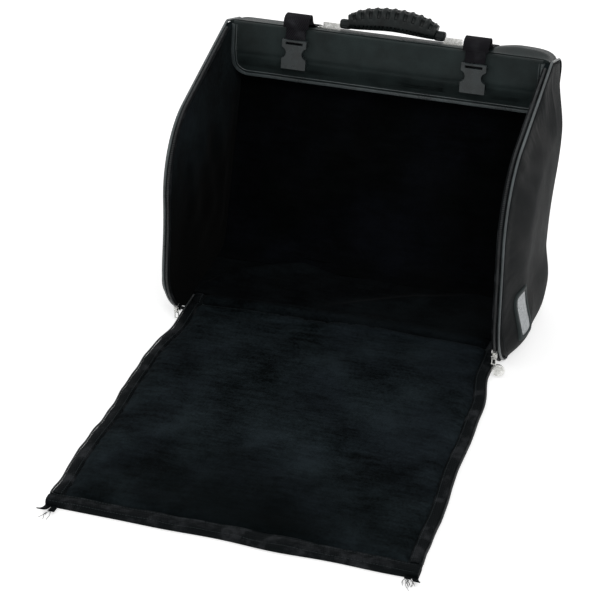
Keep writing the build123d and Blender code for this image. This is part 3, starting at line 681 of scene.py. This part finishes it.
# Zips along the opening
zipSizes = {"tapeFoot": 0.003, "tapeX": 0.2386, "tapeWidth": 0.0076, "tapeThick": 0.0024, "tapeOut": 0.0003,
            "teethX": 0.239, "teethOut": 0.0026, "pitch": 0.0026, "toothLength": 0.0017}
zipTop = nearestSample(0.118, 0.3611)
for sign, name in ((-1, "left"), (1, "right")):
    s = zipSizes
    index = np.arange(0, zipTop + 1)
    index = index[outline[index, 1] > s["tapeFoot"]]
    tapePath = inPlane(offsetOutline(-s["tapeOut"])[index], sign * s["tapeX"])
    shape = ribbonSection(s["tapeWidth"], s["tapeThick"])
    settle(sweptPiece(f"zipTape_{name}", [tapePath], (1, 0, 0), shape, "zipTape"), "case", f"zip_tape_{name}")
    points, along = spaced(inPlane(offsetOutline(-s["teethOut"])[index], sign * s["teethX"]), s["pitch"])
    outward = np.cross(along, np.array([sign * 1.0, 0, 0]))
    outward *= np.sign((outward[:, 1:] * (points[:, 1:] - np.array([0.02, 0.19]))).sum(1))[:, None]
    tooth = pillShape(s["toothLength"], 0.0040, 0.0026, 3)
    settle(repeated(f"zipTeeth_{name}", points, along, outward, tooth, "zipTeeth"), "case", f"zip_coil_{name}")
print("opening zips made")

# Front panel: one cloth in four stretches, split at the joints between the bodies
panelSizes = {"joints": (-0.090, -0.1615, -0.3775, -0.4615), "reach": (0.010, 0.012, 0.022, 0.022), "hem": -0.5965,
              "narrow": 0.2339, "wide": 0.2375, "flare": 0.0125, "edgeBand": 0.0175, "pile": 0.0140, "step": 0.0026,
              "cuts": (-0.12575, -0.2695, -0.4195), "columns": 170, "skew": 0.0050}
plugAt = {"x": 0.135, "half": 0.0235, "y0": -0.600, "y1": -0.509, "ease": 0.003, "depth": 0.0076}


def panelHalf(y):  # half the panel's width: narrow at the gusset, then wide, flaring a little towards the front
    wide = panelSizes["wide"] + panelSizes["flare"] * (0.6 + 0.4 * smoothStep(-y, 0.30, 0.58))
    waver = 0.0012 * np.sin(y * 38 + 1.0) * smoothStep(-y, 0.24, 0.30) * (1 - smoothStep(-y, 0.57, 0.60))
    return panelSizes["narrow"] + (wide - panelSizes["narrow"]) * smoothStep(-y, 0.155, 0.235) + waver


def panelTop(x, y, half):  # height of the padded pile: low crown, soft at the seams, with folds and hollows
    inside = half - panelSizes["edgeBand"]
    edge = np.clip(inside - np.abs(x), 0, None)
    height = panelSizes["pile"] + 0.0016 * (1 - (x / inside) ** 2)
    height = height + 0.0012 * softNoise(x, y, 0.20, 71) + 0.0006 * softNoise(x, y, 0.07, 72)
    height = height - 0.0052 * np.exp(-edge / 0.0065)
    height = height - 0.0050 * np.exp(-np.clip(y - panelSizes["hem"], 0, None) / 0.0065)
    lateral = 0.0007 * np.sin(y * 210 + 3 * np.sin(x * 9)) * bellCurve(y, -0.12, 0.03)
    gather = 0.0008 * softNoise(y * 1.0, x * 0.05, 0.022, 75) * np.exp(-edge / 0.012)
    return height + lateral + gather + creaseDip(x, y) * smoothStep(y, -0.150, -0.112)


def skewed(points):  # the right half of the free end was cut longer
    moved = np.array(points, float)
    moved[..., 1] -= panelSizes["skew"] * smoothStep(moved[..., 0], 0.0, 0.24) * smoothStep(-moved[..., 1], 0.45, 0.60)
    return moved


def plugPocket(x, y):  # 1 where a buckle plug lies against the underside
    p = plugAt
    across = 1 - smoothStep(np.abs(np.abs(x) - p["x"]), p["half"], p["half"] + p["ease"])
    return across * smoothStep(y, p["y0"] - p["ease"], p["y0"]) * (1 - smoothStep(y, p["y1"], p["y1"] + p["ease"]))


bodies = ["case", "gusset", "panel_lower", "panel_corner", "panel_top"]
cuts = [hingeSizes["cutY"], *panelSizes["cuts"], panelSizes["hem"] + 0.0004]
for number, label in enumerate(["hinge", "gusset", "lower", "upper"]):
    joined = bodies[max(1, number):number + 2][::-1]

    def acrossJoint(piece, ending=None):  # bakes the piece in place and hides the nodes of the two bodies at the joint
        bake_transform(piece)
        if ending:
            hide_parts(*[f"{body}_{ending}" for body in joined])

    def stretch(share, *levels):  # grids over the stretch's depth at shares of its width
        grid = np.broadcast_to(y[:, None], share.shape)
        return [skewed(np.stack([share, grid, level], -1)) for level in levels]

    first, last = cuts[number:number + 2]
    y = np.linspace(first, last, int(abs(first - last) / panelSizes["step"]) + 2)
    if number == 3:
        y = np.unique(np.concatenate([y, y[-1] + np.linspace(0, 0.006, 6)]))[::-1]
    half, yy = panelHalf(y)[:, None], y[:, None]
    spread = np.sin(np.linspace(-1, 1, panelSizes["columns"]) * math.pi / 2 * 0.94) / math.sin(math.pi / 2 * 0.94)
    x = spread[None] * (half - panelSizes["edgeBand"])
    under = 0.0022 + (plugAt["depth"] - 0.0004) * plugPocket(x, yy)
    pile = slabPiece(f"panelPile_{label}", *stretch(x, panelTop(x, yy, half), under), "panelPlush", "plush")
    acrossJoint(pile, "lining")
    # cover underneath, a little narrower than the bands
    x = np.linspace(-1, 1, panelSizes["columns"] if number == 3 else 60)[None] * (half - 0.001)
    under = 0.0002 + plugAt["depth"] * plugPocket(x, yy)
    cover = slabPiece(f"panelCover_{label}", *stretch(x, under + 0.0017, under), "outerNylon", "nylon")
    acrossJoint(cover, "cover")
    # zip tape turned up at both edges and sewn down
    for sign, side in ((-1, "left"), (1, "right")):
        across = np.linspace(0, 1, 15)
        inner = half - panelSizes["edgeBand"] - 0.0010
        x = inner + (half - inner) * across[None]
        wave = 0.0016 * softNoise(yy * 1.0, 0 * yy + sign, 0.06, 81) * across[None]
        tapeTop = 0.0094 + 0.0026 * np.sin(across * math.pi)[None] ** 0.8 + wave
        tapeTop = tapeTop - 0.0026 * smoothStep(across, 0.82, 1.0)[None]
        pinch = -0.0016 * bellCurve(across, 0.06, 0.08)[None]
        crease = creaseDip(sign * x, yy + 0 * x) * smoothStep(y, -0.13, -0.10)[:, None] * 0.5
        upper, lower = stretch(sign * x, np.maximum(tapeTop + pinch + crease, 0.004), 0 * x + 0.0023)
        acrossJoint(slabPiece(f"panelTape_{label}_{side}", upper, lower, "boundEdge", "zip_tape"), "zip")
        edgePath = np.stack([sign * (panelHalf(y) + 0.0006), y, 0.0088 + wave[:, -1]], -1)
        points, along = spaced(skewed(edgePath), zipSizes["pitch"])
        up, tooth = np.tile((0.0, 0.0, 1.0), (len(points), 1)), pillShape(zipSizes["toothLength"], 0.0036, 0.0030, 3)
        acrossJoint(repeated(f"panelTeeth_{label}_{side}", points, along, up, tooth, "zipTeeth"), "zip")
        seamPath = np.stack([sign * (panelHalf(y) - panelSizes["edgeBand"] + 0.0034), y,
                             tapeTop[:, 3] + pinch[0, 3] + 0.0003 + crease[:, 3]], -1)
        acrossJoint(stitches(f"panelStitch_{label}_{side}", skewed(seamPath), (0, 0, 1)))
print("front panel made")

# Hem, tape ends and loose threads
hemSizes = {"front": -0.6175, "back": -0.5955, "half": 0.2503, "height": 0.0125,
            "stitch": {"front": -0.6145, "back": -0.5995}}
s = hemSizes
x = np.linspace(-1, 1, 220) * s["half"]
turn = np.linspace(0, 2 * math.pi, 40, endpoint=False)
centreY, deep = (s["front"] + s["back"]) / 2, (s["back"] - s["front"]) / 2
wavy = 0.0022 * softNoise(x, 0 * x, 0.16, 91)
lift = 0.0008 * softNoise(x, 0 * x, 0.07, 92)
ringY = centreY + wavy[:, None] * (np.cos(turn)[None] < 0) * np.abs(np.cos(turn))[None]
ringY = ringY + deep * power(np.cos(turn), 0.45)[None]
ringZ = s["height"] / 2 + (s["height"] / 2 - 0.0002) * power(np.sin(turn), 0.55)[None] * (1 + 0 * x[:, None])
pressed = lift[:, None] - 0.0016 * bellCurve(ringY, s["stitch"]["front"], 0.0018)
pressed = pressed - 0.0016 * bellCurve(ringY, s["stitch"]["back"], 0.0016)
ringZ = np.where(ringZ > 0.004, ringZ + pressed, ringZ)
hemGrid = skewed(np.stack([np.broadcast_to(x[:, None], ringY.shape), ringY, np.maximum(ringZ, 0.0002)], -1))
hem = tubePiece("frontHem", hemGrid, "boundEdge", np.stack([hemGrid[..., 0], ringZ + ringY], -1))
settle(hem, "panel_top", "front_hem")
for label, at in s["stitch"].items():
    line = np.stack([x[2:-2], 0 * x[2:-2] + at + wavy[2:-2] * 0.4, 0.0111 + lift[2:-2]], -1)
    settle(stitches(f"frontHem.stitching_{label}", skewed(line), (0, 0, 1)), "panel_top")


def tapeEnd(sign, offset, lean, rise, length):  # short cut end of tape, curling up a little
    share = np.linspace(0, 1, 12)
    out = sign * (0.2465 - offset + lean * share ** 1.5)
    return np.stack([out, -0.6150 - length * share, 0.0035 + rise * share ** 2], -1)


tapeEnds = {"left": ((0.0, 0.004, 0.008, 0.019), (0.009, -0.001, 0.003, 0.014)),
            "right": ((0.0, 0.006, 0.006, 0.016), (0.008, 0.002, 0.011, 0.018))}
for sign, side in ((-1, "left"), (1, "right")):
    ends = [skewed(tapeEnd(sign, *end)) for end in tapeEnds[side]]
    tails = sweptPiece(f"tapeEnds_{side}", ends, (1, 0, 0), ribbonSection(0.0085, 0.0016), "boundEdge")
    settle(tails, "panel_top", "panel_top_zip")
    draw = np.random.default_rng(7 + sign).random
    share = np.linspace(0, 1, 9)
    threads = []
    for number in range(10 + 4 * sign):
        root = np.array([sign * (0.234 + 0.012 * draw()), -0.619 - 0.012 * draw(), 0.003 + 0.008 * draw()])
        aim = np.array([sign * (0.010 * draw() - 0.002), -0.010 - 0.006 * draw(), 0.004 * draw() - 0.001])
        curl = np.stack([0.002 * np.sin(share * 5 + 6 * draw()), 0 * share, 0.0015 * np.sin(share * 4)], -1)
        strand = root + aim * share[:, None] + curl * share[:, None]
        strand[:, 2] = np.maximum(strand[:, 2], 0.0006)
        threads.append(skewed(strand))
    frayed = sweptPiece(f"frayedThreads_{side}", threads, (0, 0, 1), roundSection(0.0003, 5), "boundEdge")
    settle(frayed, "panel_top")
print("hem made")

# Flap
flapSizes = {"fold": (0.134, 0.364625), "hang": 80.0, "half": 0.2328, "length": 0.0845, "corner": 0.022, "skin": 0.0027,
             "crease": 0.046, "creaseReach": 0.016, "lean": 27.0}
hang = math.radians(flapSizes["hang"])
flapDown = np.array([0.0, -math.cos(hang), -math.sin(hang)])
flapOut = np.array([0.0, -math.sin(hang), math.cos(hang)])


def flapLean(t):  # the lower part leans in past a soft crease
    s = flapSizes
    return np.radians(s["lean"]) * smoothStep(t, s["crease"] - s["creaseReach"], s["crease"] + s["creaseReach"])


def flapPoint(x, t, lift):  # x across, t down from the fold, lift off the middle layer
    steps = np.linspace(0, 0.1, 101)
    down, inwards = (np.concatenate([[0], np.cumsum(part(flapLean(steps)[:-1]) * 0.001)]) for part in (np.cos, np.sin))
    along, back = np.interp(t, steps, down), np.interp(t, steps, inwards)
    wavyLift = 0.0012 * softNoise(x, t, 0.13, 101) * smoothStep(t, 0.01, 0.05)
    dimple = -0.0007 * bellCurve(t, flapSizes["crease"], 0.003)
    total = lift + np.where(lift > 0, wavyLift + dimple, wavyLift)
    bend = flapLean(t)[..., None]
    place = np.array([0.0, *flapSizes["fold"]]) + along[..., None] * flapDown - back[..., None] * flapOut
    place = place + total[..., None] * (np.cos(bend) * flapOut + np.sin(bend) * flapDown * -1)
    place[..., 0] = x
    return place


def flapHalf(t):
    s = flapSizes
    over = np.clip(t - (s["length"] - s["corner"]), 0, s["corner"])
    return s["half"] - s["corner"] + np.sqrt(s["corner"] ** 2 - over ** 2)


def flapRim(inset):  # line round the two sides and the free edge, this far inside them
    s = flapSizes
    side = np.linspace(0.002, s["length"] - s["corner"], 60)
    angle = np.linspace(0, math.pi / 2, 24)[1:-1]
    reach, half, low = s["corner"] - inset, s["half"] - inset, s["length"] - inset
    cornerX, cornerT = half - reach + reach * np.cos(angle), low - reach + reach * np.sin(angle)
    bottom = np.linspace(half - reach, -(half - reach), 160)
    return (np.concatenate([np.full(60, half), cornerX, bottom, -cornerX[::-1], np.full(60, -half)]),
            np.concatenate([side, cornerT, np.full(160, low), cornerT[::-1], side[::-1]]))


def flapLine(inset, lift):
    rimX, rimT = flapRim(inset)
    return flapPoint(rimX, rimT, 0 * rimX + lift)


s = flapSizes
rounded = s["length"] - s["corner"] * np.cos(np.linspace(0.06, 1, 26) * math.pi / 2)
t = np.concatenate([np.linspace(-0.001, 0.070, 40), rounded])
x = np.linspace(-1, 1, 200)[None] * flapHalf(t)[:, None]
tt = np.broadcast_to(t[:, None], x.shape)
easeIn = np.minimum(1, (flapHalf(tt) - np.abs(x)) / 0.004) * 0.0005
faces = (flapPoint(x, tt, s["skin"] + easeIn), flapPoint(x, tt, -s["skin"] + 0 * x))
flap = slabPiece("flapSheet", *faces, "coatedCloth", "nylon")
settle(flap, "flap", "flap_cover", "flap_board", "flap_lining")
bindingShape = [(-0.0036, -0.0002), (-0.0030, -0.0018), (0, -0.0022), (0.0030, -0.0018), (0.0036, -0.0002),
                (0.0036, 0.0030), (0.0030, 0.0032), (-0.0030, 0.0032), (-0.0036, 0.0030)]
edge = sweptPiece("flapBinding", [flapLine(-0.0006, 0)], flapOut, bindingShape, "highlightedCord")
settle(edge, "flap", "flap_binding")
settle(cordPiece("flapWelt", flapLine(0.0050, s["skin"] + 0.0004), 0.0009, "highlightedCord", flapOut, 6), "flap")
settle(stitches("flapStitching", flapLine(0.0075, s["skin"] + 0.0005), flapOut), "flap")
roll = np.stack([np.linspace(-s["half"], s["half"], 90), np.full(90, s["fold"][0]), np.full(90, s["fold"][1])], -1)
foldRoll = cordPiece("flapFold", roll, 0.0031, "coatedCloth", (0, 1, 0), 14)
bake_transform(foldRoll)
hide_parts("flap_cover")
print("flap made")

# Straps over the top strip: sewn on the back, raised in a fold in front, then down to the buckle
strapSizes = {"offset": 0.135, "width": 0.038, "dropWidth": 0.0300, "thick": 0.0022, "lift": 0.0042, "rightLift": 0.0040,
              "boxHalf": 0.0155, "boxRows": (4, 26)}
liftedFold = [(0.1540, 0.3690), (0.1505, 0.3750), (0.1495, 0.3810), (0.1470, 0.3850), (0.1410, 0.3862),
              (0.1335, 0.3860), (0.1285, 0.3838), (0.1262, 0.3790), (0.1256, 0.3742), (0.1254, 0.3716)]
underFold = [(0.1478, 0.3700), (0.1470, 0.3755), (0.1462, 0.3805), (0.1440, 0.3832), (0.1400, 0.3840),
             (0.1345, 0.3838), (0.1305, 0.3818), (0.1287, 0.3780), (0.1281, 0.3742), (0.1279, 0.3716)]
strapDrop = [(0.1266, 0.3724), (0.1264, 0.3690), (0.1261, 0.3655), (0.1255, 0.3615),
             (0.1244, 0.3570), (0.1232, 0.3525), (0.1220, 0.3482)]
sewnSample = nearestSample(0.190, 0.270)
stripSamples = np.arange(foldSample + 22, sewnSample)
for sign, name in ((-1, "left"), (1, "right")):
    s = strapSizes
    centreX = sign * s["offset"]

    def strapPiece(part, path, width):
        shape = ribbonSection(width, s["thick"])
        return sweptPiece(f"strap_{name}.{part}", [inPlane(path, centreX)], (1, 0, 0), shape, "strapWeave")

    raised = s["rightLift"] * (sign > 0) * smoothStep(outline[:, 0], 0.150, 0.170)
    run = offsetOutline(-s["lift"] - raised)[stripSamples][::-1]
    path = np.concatenate([run[run[:, 0] > 0.158], np.array(liftedFold)])
    length = np.concatenate([[0], np.cumsum(np.hypot(*np.diff(path, axis=0).T))])
    path = atLengths(path, length, np.linspace(0, length[-1], 150))
    for _ in range(3):
        path[1:-1] = (path[:-2] + 2 * path[1:-1] + path[2:]) / 4
    settle(strapPiece("sewn", path, s["width"]), "case", f"strap_{name}")
    settle(strapPiece("fold", underFold, s["width"] - 0.0008), "case")
    drop = strapPiece("drop", strapDrop, s["dropWidth"])
    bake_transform(drop)
    low, high = (sewnSample - row for row in s["boxRows"])
    corners = [(row, side * s["boxHalf"]) for row, side in ((low, -1), (low, 1), (high, 1), (high, -1), (low, -1))]
    box = []
    for (s0, x0), (s1, x1) in zip(corners[:-1], corners[1:]):
        share = np.linspace(0, 1, 20)
        flat = offsetOutline(-0.0056)[np.round(s0 + (s1 - s0) * share).astype(int)]
        box.append(np.stack([centreX + x0 + (x1 - x0) * share, flat[:, 0], flat[:, 1]], -1))
    settle(stitches(f"strap_{name}.stitching", np.concatenate(box), (0, 1, 0.3)), "case")
print("straps made")

# Label window on the right side
labelSizes = {"y0": -0.108, "y1": -0.064, "z0": 0.041, "z1": 0.117, "border": 0.008, "corner": 0.32, "height": 0.0018}


def onSide(y, z, lift):
    return np.stack([sideSizes["halfWidth"] + pillowHeight(y, z) + lift, y, z], -1)


s = labelSizes
centre = np.array([(s["y0"] + s["y1"]) / 2, (s["z0"] + s["z1"]) / 2])
halves = np.array([(s["y1"] - s["y0"]) / 2, (s["z1"] - s["z0"]) / 2])
around = np.linspace(0, 2 * math.pi, 120, endpoint=False)
square = np.stack([power(np.cos(around), s["corner"]), power(np.sin(around), s["corner"])], -1)
share = np.linspace(0, 1, 12)
widths = np.stack([halves[0] - s["border"] * share, halves[1] - s["border"] * share], -1)
flatY, flatZ = centre[0] + square[None, :, 0] * widths[:, :1], centre[1] + square[None, :, 1] * widths[:, 1:]
raised = s["height"] * np.sin(np.clip(share, 0, 1) * math.pi)[:, None] ** 0.35 + 0.0002
topRing, lowRing = onSide(flatY, flatZ, raised + 0 * flatY), onSide(flatY, flatZ, -0.0006 + 0 * flatY)
rows, columns = topRing.shape[:2]
count = rows * columns
edgeWalls = [ringWalls(at * columns, at * columns + count, columns) for at in (0, rows - 1)]
upper, lower = gridQuads(rows, columns, 0, False, True), gridQuads(rows, columns, count, False, True)[:, ::-1]
verts = np.concatenate([topRing.reshape(-1, 3), lowRing.reshape(-1, 3)])
border = makePiece("labelFrame", verts, np.vstack([upper, lower, *edgeWalls]), "coatedCloth", verts[:, 1:])
settle(border, "case", "label_frame")
b = s["border"] * 0.8
y, z = flatGrid(s["y0"] + b, s["y1"] - b, s["z0"] + b, s["z1"] - b, 0.002)
settle(slabPiece("labelCard", onSide(y, z, 0.0004), onSide(y, z, -0.0004), "card", "card"), "case", "label_card")
bulge = 0.0005 * np.sin((y - y.min()) / np.ptp(y) * math.pi) * np.sin((z - z.min()) / np.ptp(z) * math.pi)
settle(slabPiece("labelPane", onSide(y, z, 0.0011 + bulge), onSide(y, z, 0.0007), "pane", "window"), "case", "label_window")
for label, inset in (("outer", 0.0016), ("inner", 0.0064)):
    loop = centre + square * (halves - inset)
    loop = np.vstack([loop, loop[:1]])
    path = onSide(loop[:, 0], loop[:, 1], 0.0017)
    settle(stitches(f"labelStitching_{label}", path, (1, 0, 0), 0.0034, 0.0024, 0.0008), "case")
print("label made")

# Grip of the handle, an arched ribbed moulding with a block at each end
gripSizes = {"seat": (0.168, 0.35684), "fall": 20.0, "half": 0.0652, "rise": 0.0095, "axis": 0.0150, "height": 0.0330,
             "deep": 0.0158, "ribs": 11, "ribRise": 0.0017, "slot": 0.0026, "dot": 0.0032,
             "endX": 0.0712, "endHalf": 0.0088, "endRadius": 0.0074, "endUp": 0.0108, "pit": 0.0011}
g = gripSizes
fall = math.radians(g["fall"])
seatBack, seatUp = np.array([0, math.cos(fall), -math.sin(fall)]), np.array([0, math.sin(fall), math.cos(fall)])


def onSeat(x, deep, up, middleX=0):
    place = np.array([middleX, *g["seat"]]) + x[..., None] * np.array([1.0, 0, 0])
    return place + deep[..., None] * seatBack + up[..., None] * seatUp


archRadius = (g["half"] ** 2 + g["rise"] ** 2) / (2 * g["rise"])
share = np.linspace(-1, 1, 420)
angle = share * math.asin(g["half"] / archRadius)
turn = np.linspace(0, 2 * math.pi, 72, endpoint=False)
taper = 1 - 0.34 * np.abs(share) ** 3
ribWave = np.cos(share * math.pi * (g["ribs"] - 0.5)) * (np.abs(share) < 0.93)
ribBand = np.clip(np.sin(turn), 0, 1) ** 0.35 * (np.abs(np.cos(turn)) > 0.12)
slots = (ribWave[:, None] < -0.35) * (np.abs(np.sin(turn) - 0.48) < 0.34)[None]
dotWave = (np.cos(share * math.pi * 2 * (g["ribs"] - 0.5)) > 0.45) & (np.abs(share) < 0.9)
dots = dotWave[:, None] & (np.abs(np.sin(turn) + 0.62) < 0.17)[None]
radial = g["ribRise"] * ribWave[:, None] * ribBand[None] - g["slot"] * slots - g["dot"] * dots
deep = (g["deep"] * taper[:, None] + radial) * power(np.cos(turn), 0.72)[None]
level = archRadius + (g["height"] / 2 * taper[:, None] + radial) * power(np.sin(turn), 0.78)[None]
gripUp = level * np.cos(angle)[:, None] - archRadius + g["rise"] + g["axis"]
gripGrid = onSeat(level * np.sin(angle)[:, None], deep, gripUp)
grip = tubePiece("handleGrip", gripGrid, "gripRubber", gripGrid[..., :2], 35)
settle(grip, "handle", "handle_grip", "handle_core")
for sign, name in ((-1, "left"), (1, "right")):
    across = np.linspace(-math.pi / 2, math.pi / 2, 26)[:, None]
    around = np.linspace(0, 2 * math.pi, 48, endpoint=False)[None]
    pits = g["pit"] * (np.cos(around * 9) > 0.5) * (np.cos(across * 9) > 0.3)
    radius = (g["endRadius"] - pits) * power(np.cos(across), 0.4)
    deep, up = (radius * power(part(around), 0.7) for part in (np.cos, np.sin))
    knob = onSeat(g["endHalf"] * power(np.sin(across), 0.5) + 0 * around, deep, up + g["endUp"], sign * g["endX"])
    quads = gridQuads(*knob.shape[:2], 0, False, True)
    end = makePiece(f"handleEnd_{name}", knob, quads, "gripRubber", knob[..., :2], 35)
    settle(end, "handle", f"handle_loop_{name}")
print("grip made")

# Hard pieces keep their CAD shapes
nodeFinish = {"handle_cap": "plated", "handle_screws": "plated", "handle_loop": "gripRubber", "handle_core": "gripRubber",
              "handle_grip": "gripRubber", "buckle_socket": "buckleShell", "buckle_plug": "buckleShell",
              "plug_anchors": "anchorWeave", "zip_slider": "plated", "zip_puller": "plated"}
for name, piece in nodes.items():
    chosen = next((finish for stem, finish in nodeFinish.items() if name.startswith(stem)), "outerNylon")
    if not piece.material_slots:
        piece.data.materials.append(finishes[chosen])
    for place in piece.material_slots:
        place.material = finishes[chosen]
print("hard pieces finished")

# Floor, light and camera
stageSizes = {"floor": 6.0, "key": 22.0, "fill": 9.0, "world": 0.62, "glow": 0.62, "cloth": 0.8}


def shownShare(graph):  # 1 for rays from the camera, from mirrors and through clear pieces
    kinds = ("Camera", "Glossy", "Transmission")
    seen, mirrored, through = (graph.node("ShaderNodeLightPath", out=f"Is {kind} Ray") for kind in kinds)
    return seen.larger(mirrored).larger(through)


def clearedGraph(owner):
    owner.use_nodes = True
    owner.node_tree.nodes.clear()
    return Graph(owner.node_tree)


reach = stageSizes["floor"]
floorMesh = bpy.data.meshes.new("floor")
floorMesh.from_pydata([(-reach, -reach, 0), (reach, -reach, 0), (reach, reach, 0), (-reach, reach, 0)], [], [(0, 1, 2, 3)])
floor = bpy.data.objects.new("floor", floorMesh)
bpy.context.scene.collection.objects.link(floor)
paleFloor = bpy.data.materials.new("paleFloor")  # plain pale floor, shown white and darkened only by the shadow
graph = clearedGraph(paleFloor)
cloth = graph.node("ShaderNodeBsdfDiffuse", None, {"Color": (*[stageSizes["cloth"]] * 3, 1)})
glow = graph.node("ShaderNodeEmission", None, {"Strength": stageSizes["glow"]})
lit = graph.node("ShaderNodeAddShader", None, {0: glow, 1: cloth})
shown = graph.node("ShaderNodeMixShader", None, {0: shownShare(graph), 1: cloth, 2: lit})
graph.node("ShaderNodeOutputMaterial", None, {0: shown})
floorMesh.materials.append(paleFloor)
world = bpy.data.worlds.new("studio")
bpy.context.scene.world = world
graph = clearedGraph(world)
soft, white = (graph.node("ShaderNodeBackground", None, {"Strength": value}) for value in (stageSizes["world"], 1.0))
shown = graph.node("ShaderNodeMixShader", None, {0: shownShare(graph), 1: soft, 2: white})
graph.node("ShaderNodeOutputWorld", None, {0: shown})


def softbox(name, place, target, size, strength):
    light = bpy.data.lights.new(name, "AREA")
    light.shape, light.size, light.energy = "DISK", size, strength
    lamp = bpy.data.objects.new(name, light)
    lamp.location = place
    lamp.rotation_euler = (Vector(target) - Vector(place)).to_track_quat("-Z", "Y").to_euler()
    bpy.context.scene.collection.objects.link(lamp)


softbox("keyLight", (1.2, -2.2, 2.6), (0, -0.15, 0.1), 1.4, stageSizes["key"])
softbox("fillLight", (-2.0, -1.6, 1.8), (0, -0.15, 0.1), 1.6, stageSizes["fill"])
softbox("backLight", (-0.6, 2.0, 2.2), (0, 0, 0.2), 1.4, stageSizes["fill"])

cameraSizes = {"turn": 16.504, "rise": 31.355, "roll": 0.342, "distance": 3.3496,
               "target": (-0.0614, -0.0936, 0.0456), "pixels": 2301.859, "sensor": 36.0}
turn, rise, tilt = (math.radians(cameraSizes[key]) for key in ("turn", "rise", "roll"))
back = Vector((math.sin(turn) * math.cos(rise), -math.cos(turn) * math.cos(rise), math.sin(rise)))
right = Vector((math.cos(turn), math.sin(turn), 0))
up = back.cross(right)
axes = (right * math.cos(tilt) + up * math.sin(tilt), up * math.cos(tilt) - right * math.sin(tilt), back)
spot = Vector(cameraSizes["target"]) + back * cameraSizes["distance"]
lens = bpy.data.cameras.new("camera")
lens.sensor_width = cameraSizes["sensor"]
lens.lens = cameraSizes["pixels"] / 600 * cameraSizes["sensor"]
lens.clip_end = 60
camera = bpy.data.objects.new("camera", lens)
camera.matrix_world = Matrix((*[(*[axis[row] for axis in axes], spot[row]) for row in range(3)], (0, 0, 0, 1)))
bpy.context.scene.collection.objects.link(camera)
bpy.context.scene.camera = camera
bpy.context.scene.view_settings.view_transform = "Standard"
print("stage set")
